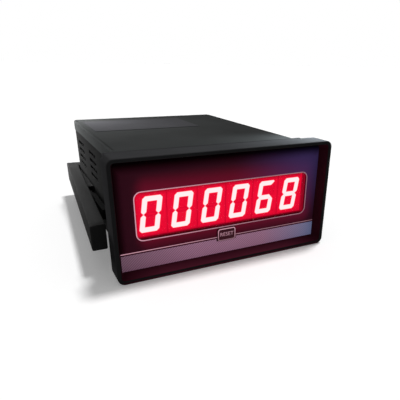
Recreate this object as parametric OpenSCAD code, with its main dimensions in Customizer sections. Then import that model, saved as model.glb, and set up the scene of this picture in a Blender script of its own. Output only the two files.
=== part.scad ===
// Panel counter with a 96 x 48 mm front, sliding side clamps and a rear terminal block.
// X points to the viewer's right, Y from the panel's front face into the panel, and Z up.
// The origin is the centre of the collar, in the plane where the bezel meets the panel.
// All sizes are in millimetres.

/* [Bezel] */
// Width of the bezel
bezel_w = 96; // [94:0.5:110]
// Height of the bezel
bezel_h = 48; // [47:0.5:60]
// Depth of the bezel in front of the panel
bezel_d = 10; // [9:0.5:14]
// Corner radius of the bezel
bezel_r = 2.8; // [1:0.1:4]
// Width of the rim at the front
rim_w = 1.4; // [1:0.1:1.8]
// Depth of the recess, from the rim to the overlay
recess_d = 5; // [4:0.1:5.5]
// How far each recess wall leans inwards over the depth
recess_lean = 1.2; // [0.4:0.1:1.5]
// Inner corner radius of the recess
recess_r = 1.2; // [0.5:0.1:2]
// Width of the collar that passes through the panel
collar_w = 91; // [89:0.2:92]
// Length of the collar behind the panel's front face
collar_l = 10; // [8:0.5:14]
// Thickness of the collar's top and bottom walls
collar_wall = 2; // [1.5:0.1:2.5]

/* [Window and key] */
// Thickness of the printed overlay film
film_t = 0.3; // [0.2:0.05:0.5]
// Thickness of the red filter plate
filter_t = 2; // [1.5:0.1:2.5]
// Width of the display window in the overlay
window_w = 78; // [77:0.5:82]
// Height of the display window in the overlay
window_h = 19; // [16:0.2:19.6]
// Sideways place of the window's centre
window_x = 0.7; // [-1:0.1:1]
// Height of the window's centre above the bezel's centre
window_z = 0.4; // [-0.5:0.1:1]
// Corner radius of the display window
window_r = 2.6; // [1:0.1:4]
// Width of the reset key's cap
key_w = 8.5; // [6:0.1:9]
// Height of the reset key's cap
key_h = 5.7; // [4:0.1:6]
// Corner radius of the reset key's cap
key_r = 1.2; // [0.5:0.1:1.6]
// Sideways place of the reset key
key_x = -0.4; // [-10:0.1:10]
// Gap between the window and the reset key's cap
key_gap = 0.7; // [0.7:0.1:1.2]
// How far the key's cap stands out of the overlay
key_proud = 0.5; // [0.2:0.1:1]
// Travel of the reset key
key_travel = 0.5; // [0.2:0.1:0.6]

/* [Digits] */
// Number of digits
digit_count = 6; // [6]
// Clearance between the row of digits and the case's walls
digit_margin = 0.5; // [0.4:0.1:1.2]
// Sideways place of the row of digits
digits_x = 0.4; // [-0.4:0.1:0.4]
// Height of the digits' centre above the bezel's centre
digits_z = 0.2; // [-0.5:0.1:1]
// Height of a lit character
char_h = 14.2; // [12:0.1:15]
// Width of a lit character before it is slanted
char_w = 7.7; // [7:0.1:8]
// Width of one bar of a character
bar_w = 1.8; // [1.4:0.1:2.2]
// Gap between the ends of neighbouring bars
bar_gap = 0.3; // [0.2:0.05:0.5]
// How far the outer corners of a character are cut off, along each side
char_cut = 0.9; // [0.7:0.1:1.2]
// Slant of the characters in degrees
slant = 9; // [0:1:12]
// Diameter of the decimal point
point_d = 1.6; // [1:0.1:1.8]
// Height of a digit module
module_h = 18.2; // [18:0.1:20]
// Depth of a digit module
module_d = 8; // [7:0.1:9]
// Thickness of a digit module's side walls
module_wall = 0.8; // [0.6:0.1:1]
// Depth of the wells that hold the lit bars
well_d = 4; // [3:0.1:5]

/* [Case] */
// Width of the top cover
case_w = 83; // [82:0.2:84]
// Height of the case and collar
case_h = 44.6; // [44:0.1:46]
// Depth of the case behind the panel's front face
case_l = 104.6; // [100:0.2:130]
// Wall thickness of the case
wall = 2; // [1.6:0.1:2.2]
// How far the top cover's lips stand out from the tray's sides
lip_step = 0.5; // [0.2:0.1:0.8]
// Height of the top cover's side lips
lip_h = 4.8; // [4:0.1:5.5]
// Radius of the case's long edges
edge_r = 0.8; // [0.4:0.1:1.2]
// Thickness of the rear cover
rear_t = 2; // [1.5:0.1:3]
// Width of the blank label on the top cover
label_w = 53.5; // [30:0.5:60]
// Length of the blank label on the top cover
label_l = 34.5; // [20:0.5:50]
// Thickness of the blank label
label_t = 0.15; // [0.1:0.05:0.3]
// Distance from the label to the top cover's left edge
label_side = 3.55; // [2:0.05:20]
// Distance from the label to the case's rear
label_rear = 11; // [4:0.5:30]

/* [Vents] */
// Number of slots in a column
vent_rows = 4; // [1:1:4]
// Number of columns of slots in each side
vent_columns = 2; // [1:1:2]
// Length of a vent slot
vent_l = 16.5; // [8:0.5:18]
// Height of a vent slot
vent_h = 1.6; // [1:0.1:2.4]
// Distance between neighbouring slots in a column
vent_pitch = 3.65; // [3:0.05:3.8]
// Distance between the columns
vent_column_pitch = 30; // [24:0.5:32]
// Height of the top slot's centre
vent_top_z = 11.8; // [10:0.1:13]
// Distance from the rear column to the case's rear
vent_rear = 7.6; // [6:0.2:12]

/* [Side clamps] */
// Width of a clamp's bar
clamp_w = 6; // [5.6:0.1:7]
// Height of a clamp's bar
clamp_h = 10.5; // [9.5:0.1:12]
// Height of a clamp's centre above the bezel's centre
clamp_z = -9.2; // [-10:0.1:-8]
// Angle by which a clamp toes outwards to the panel
clamp_toe = 3.5; // [3:0.1:4]
// Gap for the panel between the bezel and the clamp's pad
panel_gap = 4.6; // [4.4:0.1:8]
// Length of the clamp's tail behind the case
clamp_tail = 12; // [6:0.5:16]
// How far the heel at the end of the clamp's tail reaches in behind the case
heel_in = 1.6; // [1:0.1:3]
// Gap between the case's rear and the heel
heel_gap = 4.2; // [4.2:0.1:5.5]
// Length of the foot that grips the rail
foot_l = 36; // [20:1:40]
// Distance from the foot to the case's rear
foot_rear = 4.6; // [2:0.2:10]
// Height of the rail's head
rail_head = 4.4; // [3.6:0.1:5]
// Thickness of the rail's head
rail_head_t = 1.4; // [1:0.1:1.6]
// Height of the rail's stem
rail_stem = 2; // [1.6:0.1:2.4]
// How far the rail's stem stands out of the side
rail_stem_l = 1.6; // [1.2:0.1:1.8]
// Length of the rail
rail_l = 72; // [60:1:76]
// Pitch of the ratchet notches along the rail
notch_pitch = 2; // [1.5:0.1:3]
// Depth of the ratchet notches
notch_d = 0.5; // [0.3:0.1:0.7]

/* [Boards] */
// Thickness of the circuit boards
board_t = 1.6; // [1.2:0.1:2]
// Height of the main board's standoffs
standoff_h = 4; // [3:0.1:6]
// Diameter of the main board's standoffs
standoff_d = 5; // [4.4:0.1:6]
// Distance from the main board's screws to its side edges
board_screw_side = 5.3; // [4:0.1:6]
// Diameter of the screws' shanks
screw_d = 2.6; // [2:0.1:2.8]
// Diameter of the screws' heads
screw_head_d = 4.8; // [4:0.1:5]
// Height of the screws' heads
screw_head_h = 1.6; // [1.2:0.1:2]
// Length of the main board's screws below the board
board_screw_l = 3; // [2:0.1:3]
// Length of the rear cover's screws inside the bosses
cover_screw_l = 8; // [5:0.5:10]
// Diameter of the bosses for the rear cover's screws
boss_d = 6; // [5:0.1:6.4]
// Length of the bosses for the rear cover's screws
boss_l = 12; // [11:0.5:16]
// Number of pins that link the two boards
link_pins = 10; // [4:1:12]
// Distance from the row of link pins to the main board's right edge
link_side = 4.5; // [3:0.1:6]
// Distance between neighbouring link pins
link_pitch = 2.54; // [2.5:0.01:2.6]
// Width of a link pin
link_pin = 0.64; // [0.5:0.02:0.7]

/* [Terminals] */
// Number of terminals
ways = 8; // [4:1:8]
// Distance between neighbouring terminals
way_pitch = 7.62; // [7.5:0.02:7.7]
// Thickness of the fins between the terminals
fin_t = 1.2; // [1:0.1:1.4]
// Height of the terminal block
block_h = 16; // [15:0.5:20]
// Depth of the terminal block's solid base
block_base = 10; // [9:0.5:12]
// Depth of the terminal cells, from the plates to the fins' edges
cell_d = 8.6; // [7:0.1:10]
// How far the fins stand out of the rear cover
fin_proud = 2; // [0.5:0.1:4]
// Width of a terminal plate
plate_w = 5.6; // [5:0.1:5.8]
// Height of a terminal plate
plate_h = 9; // [8:0.1:10]
// Thickness of a terminal plate
plate_t = 0.8; // [0.5:0.1:1]
// Diameter of a terminal screw's shank
terminal_screw_d = 3; // [2.5:0.1:3]
// Length of a terminal screw's shank
terminal_screw_l = 9; // [6:0.5:10]
// Diameter of a terminal screw's head
terminal_head_d = 5.4; // [5:0.1:5.6]
// Height of a terminal screw's head
terminal_head_h = 2; // [1.5:0.1:2.4]

/* [Power supply] */
// Width of the transformer's core
core_w = 35; // [30:0.5:38]
// Height of the transformer's core
core_h = 29; // [26:0.5:31]
// Thickness of the transformer's stack of laminations
core_t = 14; // [10:0.5:18]
// Width of the transformer's outer limbs and yokes
limb_w = 5.8; // [5:0.1:6]
// How far the coil stands out of the core on each side
coil_over = 6.5; // [5:0.5:8]
// Thickness of the coil former
former_t = 1; // [0.8:0.1:1.4]
// Diameter of the large capacitor
large_cap_d = 13; // [10:0.5:16]
// Height of the large capacitor
large_cap_h = 21; // [15:0.5:26]
// Diameter of the small capacitor
small_cap_d = 8; // [6:0.5:10]
// Height of the small capacitor
small_cap_h = 12; // [8:0.5:16]

/* [Fits] */
// Clearance between a moulding and what fits in it
fit = 0.2; // [0.1:0.05:0.3]
// Running clearance round the sliding clamps and the key
run = 0.3; // [0.2:0.05:0.35]
// Radial clearance round the screws
screw_fit = 0.05; // [0.02:0.01:0.1]

/* [Hidden] */
$fn = 48;
// How far a cut runs past the face that it opens
past = 1;

// Planes along Y, from the front to the rear
film_y = recess_d - bezel_d;
filter_y = film_y + film_t;
ledge_y = filter_y + filter_t;
digit_y = ledge_y + fit;
display_y = digit_y + module_d;
display_rear = display_y + board_t;
case_y = collar_l + fit / 2;
rear_y = case_l - rear_t;
spigot_y = fit;

// Bezel
pocket_w = bezel_w - 2 * (rim_w + recess_lean);
pocket_h = bezel_h - 2 * (rim_w + recess_lean);
recess_scale = [1 + 2 * recess_lean / pocket_w, 1 + 2 * recess_lean / pocket_h];
plate_outer_w = pocket_w - 2 * fit;
plate_outer_h = pocket_h - 2 * fit;
collar_h = case_h;

// Catches that hold the case in the collar
catch_w = 9;
catch_l = 2.4;
catch_out = 0.4;

// Case section
tray_w = case_w - 2 * lip_step;
inner_w = tray_w - 2 * wall;
top_z = case_h / 2;
seam_z = top_z - lip_h;
floor_z = wall - top_z;
lid_under = top_z - wall;
socket_w = tray_w + 2 * fit;
socket_h = collar_h - 2 * collar_wall;
spigot_h = socket_h - 2 * fit;
spigot_top = spigot_h / 2 - wall;
tongue_t = wall / 2;
tongue_w = inner_w + 2 * tongue_t;

// Digit modules, side by side between the case's walls
digit_pitch = (inner_w - 2 * digit_margin) / digit_count;
module_w = digit_pitch - fit;
fill_gap = 0.05;
point_x = module_w / 2 - module_wall - fit - point_d / 2;

// Display opening in the ledge behind the filter
opening_margin = 2;
opening_w = digit_count * digit_pitch + 2 * opening_margin;
opening_top = digits_z + module_h / 2 + opening_margin;
rib_t = 1.2;
rib_out = 1.5;

// Reset key and its switch, just below the window; the key's flange passes below the digits
key_flange = 0.6;
key_flange_t = 1.2;
key_top = min(window_z - window_h / 2 - key_gap, digits_z - module_h / 2 - key_flange - run);
key_z = key_top - key_h / 2;
opening_bottom = key_z - key_h / 2 - key_flange - 2 * run;
switch_w = 6;
switch_d = 3.5;
switch_y = display_y - switch_d;
plunger_d = 3.5;
plunger_in = 1.2;
plunger_out = 1.4;
plunger_y = switch_y - plunger_out;
stem_d = 3;

// Main board
board_z = floor_z + standoff_h;
board_top = board_z + board_t;
board_w = inner_w - 2 * fit;
board_gap = 7;
board_y = display_rear + board_gap;
board_rear = rear_y - fit;
boss_x = inner_w / 2 - boss_d / 2 - run;
boss_sink = 0.5;
boss_z = lid_under - boss_d / 2 + boss_sink;
tail_w = 2 * (boss_x - boss_d / 2 - run);
notch_y = rear_y - boss_l - run;
board_screw_edge = 6;
board_screw_x = board_w / 2 - board_screw_side;
board_screw_front = board_y + board_screw_edge;
board_screw_rear = notch_y - board_screw_edge;
link_edge = 2;
link_x = board_w / 2 - link_side - link_pins * link_pitch / 2;
link_body = 2.5;
link_y = board_y + link_edge;
link_z = board_top + link_body / 2;

// Chips, each with as many legs as its length holds
chip_l = 37;
chip_w = 13.8;
chip_h = 3.8;
chip_gap = 1.5;
chip_y = link_y + link_body / 2 + chip_gap;
coupler_l = 8.8;
coupler_w = 6.4;
coupler_h = 3.5;
leg_pitch = 2.54;

// Power supply
supply_gap = 4;
coil_front = 8;
coil_x = -board_w / 4;
coil_y = link_y + coil_front + core_t / 2 + coil_over;
coil_rear = coil_y + core_t / 2 + coil_over;
pane_w = (core_w - 4 * limb_w) / 2;
pane_h = core_h - 2 * limb_w;

// Terminal block
block_w = ways * way_pitch + fin_t;
block_top = board_top + block_h;
plates_y = case_l + fin_proud - cell_d;
block_y = plates_y - block_base;
plate_drop = 2.5;
screw_z = block_top - plate_h / 2 - plate_drop;
washer_w = plate_w + fit;
washer_t = plate_t;

// Rail and clamps
side_x = tray_w / 2;
rail_rear = rear_y - fit;
rail_x = side_x + rail_stem_l + rail_head_t;
clamp_gap = 2 * run;
foot_y = case_l - foot_rear - foot_l;

// Vents
vent_y = case_l - vent_rear - vent_l;

// Helpers

// Extrudes a shape drawn in X and Z along Y
module along_y(y0, y1) {
    translate([0, y1, 0])
        rotate([90, 0, 0])
            linear_extrude(y1 - y0)
                children();
}

// A box between two opposite corners
module block(low, high) {
    translate(low)
        cube(high - low);
}

// A shape on the right side and its mirror image on the left
module both_sides() {
    for (side = [0, 1])
        mirror([side, 0, 0])
            children();
}

module rounded_rect(w, h, r) {
    square([w - 2 * r, h], center = true);
    square([w, h - 2 * r], center = true);
    for (sx = [-1, 1], sz = [-1, 1])
        translate([sx * (w / 2 - r), sz * (h / 2 - r)])
            circle(r);
}

// A round bar along Y
module rod(x, z, d, y0, y1) {
    translate([x, y1, z])
        rotate([90, 0, 0])
            cylinder(d = d, h = y1 - y0);
}

// A pan-head screw along Z, with its head on top of the plane z = 0
module screw(shank_d, shank_l, head_d, head_h) {
    slot_w = head_d / 5;
    difference() {
        union() {
            translate([0, 0, -shank_l])
                cylinder(d = shank_d, h = shank_l + head_h / 2);
            cylinder(d = head_d, h = head_h);
        }
        translate([-head_d, -slot_w / 2, head_h / 2])
            cube([2 * head_d, slot_w, head_h]);
    }
}

module window_shape(grow = 0) {
    translate([window_x, window_z])
        rounded_rect(window_w + 2 * grow, window_h + 2 * grow, window_r + grow);
}

module key_shape(grow = 0) {
    translate([key_x, key_z])
        rounded_rect(key_w + 2 * grow, key_h + 2 * grow, key_r + grow);
}

// Front

module front_bezel() {
    catch_half = catch_w / 2 + fit;
    color("#1a171b")
        difference() {
            union() {
                along_y(-bezel_d, 0)
                    rounded_rect(bezel_w, bezel_h, bezel_r);
                along_y(-past, collar_l)
                    rounded_rect(collar_w, collar_h, edge_r);
            }
            // Recess with leaning walls
            translate([0, film_y, 0])
                rotate([90, 0, 0])
                    linear_extrude(recess_d, scale = recess_scale, slices = 1)
                        rounded_rect(pocket_w, pocket_h, recess_r, $fn = 24);
            // Pocket for the overlay and the filter
            along_y(film_y - past, ledge_y)
                rounded_rect(pocket_w, pocket_h, recess_r);
            // Opening for the digits and the key
            block([-opening_w / 2, ledge_y - past, opening_bottom], [opening_w / 2, past, opening_top]);
            // Socket for the front end of the case, with blind pockets for its catches
            block([-socket_w / 2, 0, -socket_h / 2], [socket_w / 2, collar_l + past, socket_h / 2]);
            for (sx = [-1, 1], sz = [-1, 1])
                translate([sx * socket_w / 4, 0, sz * socket_h / 2])
                    block(
                        [-catch_half, (collar_l - catch_l) / 2 - fit, -catch_out],
                        [catch_half, (collar_l + catch_l) / 2 + fit, catch_out]
                    );
        }
}

module filter_plate() {
    color("#c8102a")
        along_y(filter_y, ledge_y)
            difference() {
                rounded_rect(plate_outer_w, plate_outer_h, recess_r);
                key_shape(run);
            }
}

module front_overlay() {
    color("#4a1028")
        along_y(film_y, filter_y)
            difference() {
                rounded_rect(plate_outer_w, plate_outer_h, recess_r);
                window_shape();
                key_shape(run);
            }
}

module reset_key() {
    flange_y = ledge_y + run;
    color("#5a1a34") {
        along_y(film_y - key_proud, flange_y + key_flange_t)
            key_shape();
        along_y(flange_y, flange_y + key_flange_t)
            key_shape(key_flange);
        rod(key_x, key_z, stem_d, flange_y, plunger_y);
    }
}

module switch_plunger() {
    color("#e8e0d0")
        rod(key_x, key_z, plunger_d, plunger_y, switch_y + plunger_in);
}

module key_switch() {
    color("#2a2a2e")
        difference() {
            translate([key_x, 0, key_z])
                block([-switch_w / 2, switch_y, -switch_w / 2], [switch_w / 2, display_y, switch_w / 2]);
            rod(key_x, key_z, plunger_d + 2 * run, switch_y - past, switch_y + plunger_in + key_travel + run);
        }
}

function link_pin_x(i) = link_x + (i - (link_pins - 1) / 2) * link_pitch;

module display_board() {
    hole = link_pin + 2 * fit;
    color("#1f5a35")
        difference() {
            block(
                [-inner_w / 2 + fit, display_y, -spigot_top],
                [inner_w / 2 - fit, display_rear, spigot_top - past]
            );
            for (i = [0 : link_pins - 1])
                translate([link_pin_x(i), 0, link_z])
                    block(
                        [-hole / 2, display_y - past, -hole / 2],
                        [hole / 2, display_rear + past, hole / 2]
                    );
        }
}

// Digits

function leaned(p, sx, sz) = [sx * p[0] + sz * p[1] * tan(slant), sz * p[1]];

// The right half of a character's top bar: a mitred end, with the outer corner cut off
function top_bar(mitre, cut, shrink) = [
    [0, char_h / 2 - shrink],
    [char_w / 2 - cut + shrink, char_h / 2 - shrink],
    [char_w / 2 - (cut + mitre) / 2, char_h / 2 - (cut - mitre) / 2],
    [char_w / 2 - bar_w + shrink - mitre, char_h / 2 - bar_w + shrink],
    [0, char_h / 2 - bar_w + shrink]
];

// The upper right bar of a character: mitred above and pointed below
function side_bar(mitre, cut, shrink, tip) = [
    [char_w / 2 - shrink, char_h / 2 - cut + shrink],
    [char_w / 2 - (cut - mitre) / 2, char_h / 2 - (cut + mitre) / 2],
    [char_w / 2 - bar_w + shrink, char_h / 2 - bar_w + shrink - mitre],
    [char_w / 2 - bar_w + shrink, tip + bar_w / 2 - shrink],
    [char_w / 2 - bar_w / 2, tip],
    [char_w / 2 - shrink, tip + bar_w / 2 - shrink]
];

// The right half of a character's middle bar, with a pointed end
function middle_bar(tip, shrink) = [
    [0, bar_w / 2 - shrink],
    [char_w / 2 - bar_w - tip + shrink, bar_w / 2 - shrink],
    [char_w / 2 - bar_w / 2 - tip, 0],
    [char_w / 2 - bar_w - tip + shrink, shrink - bar_w / 2],
    [0, shrink - bar_w / 2]
];

// The seven slanted bars and the decimal point of one character
module character(shrink = 0) {
    slope = shrink * sqrt(2);
    mitre = bar_gap / sqrt(2) + slope;
    tip = bar_gap / 2 + slope;
    cut = char_cut + slope;
    for (sx = [-1, 1]) {
        polygon([for (p = middle_bar(tip, shrink)) leaned(p, sx, 1)]);
        for (sz = [-1, 1]) {
            polygon([for (p = top_bar(mitre, cut, shrink)) leaned(p, sx, sz)]);
            polygon([for (p = side_bar(mitre, cut, shrink, tip)) leaned(p, sx, sz)]);
        }
    }
    translate([point_x, (bar_w - char_h) / 2])
        circle(d = point_d - 2 * shrink);
}

function digit_x(i) = digits_x + (i - (digit_count + 1) / 2) * digit_pitch;

module digit_shell(i) {
    color("#7a1024")
        translate([digit_x(i), 0, digits_z])
            difference() {
                block([-module_w / 2, digit_y, -module_h / 2], [module_w / 2, display_y, module_h / 2]);
                along_y(digit_y - past, digit_y + well_d + past)
                    character();
                block(
                    [-module_w / 2 + module_wall, digit_y + well_d, -module_h / 2 + module_wall],
                    [module_w / 2 - module_wall, display_y + past, module_h / 2 - module_wall]
                );
            }
}

// The cast resin that fills the shell and lights up in its wells
module digit_fill(i) {
    inset = module_wall + fill_gap;
    color("#ffd9de")
        translate([digit_x(i), 0, digits_z]) {
            along_y(digit_y, digit_y + well_d + past)
                character(fill_gap);
            block(
                [-module_w / 2 + inset, digit_y + well_d, -module_h / 2 + inset],
                [module_w / 2 - inset, display_y, module_h / 2 - inset]
            );
        }
}

// Case

module tray_section(h0, h1) {
    translate([0, (h0 + h1) / 2])
        rounded_rect(tray_w, h1 - h0, edge_r);
}

// Ribs that hold the display board upright, behind it and below the digits in front of it
module board_ribs() {
    both_sides() {
        block(
            [inner_w / 2 - rib_out, display_rear + fit, -spigot_top - past],
            [inner_w / 2 + past, display_rear + fit + rib_t, seam_z - past]
        );
        block(
            [inner_w / 2 - rib_out, display_y - fit - rib_t, -spigot_top - past],
            [inner_w / 2 + past, display_y - fit, digits_z - module_h / 2 - past]
        );
    }
}

// A catch on the front end of the case, standing half out of the wall
module spring_catch() {
    cube([catch_w, catch_l, 2 * catch_out], center = true);
}

module side_rail() {
    notches = floor((rail_l - foot_l / 2) / notch_pitch);
    rail_y = rail_rear - rail_l;
    difference() {
        union() {
            block(
                [side_x - past, rail_y, clamp_z - rail_stem / 2],
                [rail_x, rail_rear, clamp_z + rail_stem / 2]
            );
            block(
                [side_x + rail_stem_l, rail_y, clamp_z - rail_head / 2],
                [rail_x, rail_rear, clamp_z + rail_head / 2]
            );
        }
        for (i = [1 : notches])
            translate([rail_x, rail_rear - i * notch_pitch, clamp_z])
                rotate([0, 0, 45])
                    cube([notch_d * sqrt(2), notch_d * sqrt(2), rail_head + past], center = true);
    }
}

module vents() {
    for (column = [0 : vent_columns - 1], row = [0 : vent_rows - 1])
        translate([side_x, vent_y - column * vent_column_pitch, vent_top_z - row * vent_pitch])
            block([-wall - past, 0, -vent_h / 2], [wall + past, vent_l, vent_h / 2]);
}

module case_tray() {
    color("#333638")
        difference() {
            union() {
                difference() {
                    union() {
                        along_y(case_y, rear_y)
                            tray_section(-top_z, seam_z);
                        block(
                            [-tongue_w / 2, case_y + wall + fit, 0],
                            [tongue_w / 2, rear_y, lid_under - fit]
                        );
                        block(
                            [-tray_w / 2, spigot_y, -spigot_h / 2],
                            [tray_w / 2, case_y + past, spigot_top]
                        );
                    }
                    block([-inner_w / 2, case_y + wall, floor_z], [inner_w / 2, rear_y + past, top_z]);
                    block(
                        [-inner_w / 2, spigot_y - past, -spigot_top],
                        [inner_w / 2, case_y + wall + past, top_z]
                    );
                    block([-tray_w, case_y, seam_z], [tray_w, case_y + wall + fit, top_z]);
                }
                board_ribs();
                both_sides()
                    side_rail();
                for (sx = [-1, 1]) {
                    rod(sx * boss_x, -boss_z, boss_d, rear_y - boss_l, rear_y);
                    for (y = [board_screw_front, board_screw_rear])
                        translate([sx * board_screw_x, y, floor_z - wall / 2])
                            cylinder(d = standoff_d, h = standoff_h + wall / 2);
                    // Catches under the spigot
                    translate([sx * socket_w / 4, collar_l / 2, -spigot_h / 2])
                        spring_catch();
                }
            }
            both_sides()
                vents();
            for (sx = [-1, 1]) {
                rod(
                    sx * boss_x, -boss_z, screw_d + 2 * screw_fit,
                    rear_y - cover_screw_l - past, rear_y + past
                );
                for (y = [board_screw_front, board_screw_rear])
                    translate([sx * board_screw_x, y, board_z - board_screw_l - fit])
                        cylinder(d = screw_d + 2 * screw_fit, h = board_screw_l + past);
            }
        }
}

module top_cover() {
    lip_inner = tongue_w / 2 + fit;
    color("#3a3d3e")
        difference() {
            union() {
                difference() {
                    along_y(case_y, rear_y)
                        translate([0, (top_z + seam_z) / 2 - edge_r / 2])
                            rounded_rect(case_w, lip_h + edge_r, edge_r);
                    block([-case_w, 0, seam_z - 2 * edge_r], [case_w, case_l, seam_z]);
                    block([-lip_inner, case_y - past, seam_z - past], [lip_inner, rear_y + past, lid_under]);
                }
                // Step down into the bezel's collar
                block([-tray_w / 2, spigot_y, spigot_top], [tray_w / 2, case_y + wall, spigot_h / 2]);
                block([-tray_w / 2, case_y, spigot_top], [tray_w / 2, case_y + wall, lid_under + wall / 2]);
                for (sx = [-1, 1]) {
                    rod(sx * boss_x, boss_z, boss_d, rear_y - boss_l, rear_y);
                    translate([sx * socket_w / 4, collar_l / 2, spigot_h / 2])
                        spring_catch();
                }
            }
            for (sx = [-1, 1])
                rod(
                    sx * boss_x, boss_z, screw_d + 2 * screw_fit,
                    rear_y - cover_screw_l - past, rear_y + past
                );
        }
}

module top_label() {
    x0 = label_side - case_w / 2;
    y1 = case_l - label_rear;
    color("#55585a")
        block([x0, y1 - label_l, top_z], [x0 + label_w, y1, top_z + label_t]);
}

module rear_cover() {
    color("#2c2e30")
        difference() {
            along_y(rear_y, case_l)
                rounded_rect(tray_w, case_h, edge_r);
            block(
                [-block_w / 2 - run, rear_y - past, board_top - run],
                [block_w / 2 + run, case_l + past, block_top + run]
            );
            for (sx = [-1, 1], sz = [-1, 1])
                rod(sx * boss_x, sz * boss_z, screw_d + 2 * fit, rear_y - past, case_l + past);
        }
}

module cover_screws() {
    color("silver")
        for (sx = [-1, 1], sz = [-1, 1])
            translate([sx * boss_x, case_l, sz * boss_z])
                rotate([-90, 0, 0])
                    screw(screw_d, rear_t + cover_screw_l, screw_head_d, screw_head_h);
}

// Electronics

module main_board() {
    pin_hole = link_pin + 2 * fit;
    color("#1f5a35")
        difference() {
            union() {
                block([-board_w / 2, board_y, board_z], [board_w / 2, notch_y, board_top]);
                block([-tail_w / 2, board_y, board_z], [tail_w / 2, board_rear, board_top]);
            }
            for (sx = [-1, 1], y = [board_screw_front, board_screw_rear])
                translate([sx * board_screw_x, y, board_z - past])
                    cylinder(d = screw_d + 2 * fit, h = board_t + 2 * past);
            for (i = [0 : link_pins - 1])
                translate([link_pin_x(i), link_y, 0])
                    block(
                        [-pin_hole / 2, -pin_hole / 2, board_z - past],
                        [pin_hole / 2, pin_hole / 2, board_top + past]
                    );
        }
}

module board_screws() {
    color("silver")
        for (sx = [-1, 1], y = [board_screw_front, board_screw_rear])
            translate([sx * board_screw_x, y, board_top])
                screw(screw_d, board_t + board_screw_l, screw_head_d, screw_head_h);
}

// Right-angle pins in a moulded strip, from the main board to the display board
module link_header() {
    half = link_pin / 2;
    color("#202020") {
        block(
            [link_x - link_pins * link_pitch / 2, link_y - link_body / 2, board_top],
            [link_x + link_pins * link_pitch / 2, link_y + link_body / 2, board_top + link_body]
        );
        for (i = [0 : link_pins - 1])
            translate([link_pin_x(i), 0, 0]) {
                block([-half, display_y - past, link_z - half], [half, link_y, link_z + half]);
                block([-half, link_y - half, board_z - past], [half, link_y + half, link_z]);
            }
    }
}

// A dual in-line package with its legs standing on the board
module dip_chip(length, width, height) {
    legs = floor(length / leg_pitch);
    leg_w = 1.2;
    leg_t = 0.4;
    lift = 0.6;
    color("#18181a") {
        block([-width / 2, -length / 2, lift], [width / 2, length / 2, lift + height]);
        both_sides()
            for (i = [0 : legs - 1])
                translate([width / 2, (i - (legs - 1) / 2) * leg_pitch, 0]) {
                    block(
                        [-past, -leg_w / 2, lift + height / 2 - leg_t],
                        [leg_t, leg_w / 2, lift + height / 2]
                    );
                    block([0, -leg_w / 4, 0], [leg_t, leg_w / 4, lift + height / 2]);
                }
    }
}

module microcontroller() {
    translate([board_w / 4, chip_y + chip_l / 2, board_top])
        dip_chip(chip_l, chip_w, chip_h);
}

module input_coupler() {
    translate([board_w / 4, chip_y + chip_l + chip_gap + coupler_l / 2, board_top])
        dip_chip(coupler_l, coupler_w, coupler_h);
}

// The transformer stands on the left of the board; its coil is wound round the core's middle limb
module transformer_core() {
    color("#6a6f75")
        translate([coil_x, coil_y, board_top])
            difference() {
                block([-core_w / 2, -core_t / 2, 0], [core_w / 2, core_t / 2, core_h]);
                for (sx = [-1, 1])
                    translate([sx * (limb_w + pane_w / 2), 0, limb_w])
                        block([-pane_w / 2, -core_t, 0], [pane_w / 2, core_t, pane_h]);
            }
}

module former_ring(x_half, y_half, z0, z1) {
    hole_x = limb_w + fit;
    hole_y = core_t / 2 + fit;
    difference() {
        block([-x_half, -y_half, z0], [x_half, y_half, z1]);
        block([-hole_x, -hole_y, z0 - past], [hole_x, hole_y, z1 + past]);
    }
}

module transformer_former() {
    z0 = limb_w + fit / 2;
    z1 = limb_w + pane_h - fit / 2;
    flange_x = limb_w + pane_w - fit;
    flange_y = core_t / 2 + coil_over;
    color("#e8e2c8")
        translate([coil_x, coil_y, board_top]) {
            former_ring(flange_x, flange_y, z0, z0 + former_t);
            former_ring(flange_x, flange_y, z1 - former_t, z1);
            former_ring(limb_w + fit + former_t, core_t / 2 + fit + former_t, z0, z1);
        }
}

module transformer_coil() {
    z0 = limb_w + fit / 2 + former_t;
    z1 = limb_w + pane_h - fit / 2 - former_t;
    hole_x = limb_w + fit + former_t;
    hole_y = core_t / 2 + fit + former_t;
    coil_half = limb_w + pane_w - 2 * fit;
    color("#b5742a")
        translate([coil_x, coil_y, board_top])
            difference() {
                block(
                    [-coil_half, -core_t / 2 - coil_over + fit, z0],
                    [coil_half, core_t / 2 + coil_over - fit, z1]
                );
                block([-hole_x, -hole_y, z0 - past], [hole_x, hole_y, z1 + past]);
            }
}

// A can capacitor with a rolled groove near its foot
module can(d, h) {
    r = d / 2;
    groove = d / 20;
    rotate_extrude()
        difference() {
            square([r, h]);
            translate([r, h / 8])
                circle(groove);
            translate([r - groove, h - groove])
                difference() {
                    square(2 * groove);
                    circle(groove);
                }
        }
}

module large_capacitor() {
    color("#22305a")
        translate([coil_x - core_w / 4, coil_rear + supply_gap + large_cap_d / 2, board_top])
            can(large_cap_d, large_cap_h);
}

module small_capacitor() {
    color("#22305a")
        translate([coil_x + core_w / 4, coil_rear + supply_gap + small_cap_d / 2, board_top])
            can(small_cap_d, small_cap_h);
}

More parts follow.
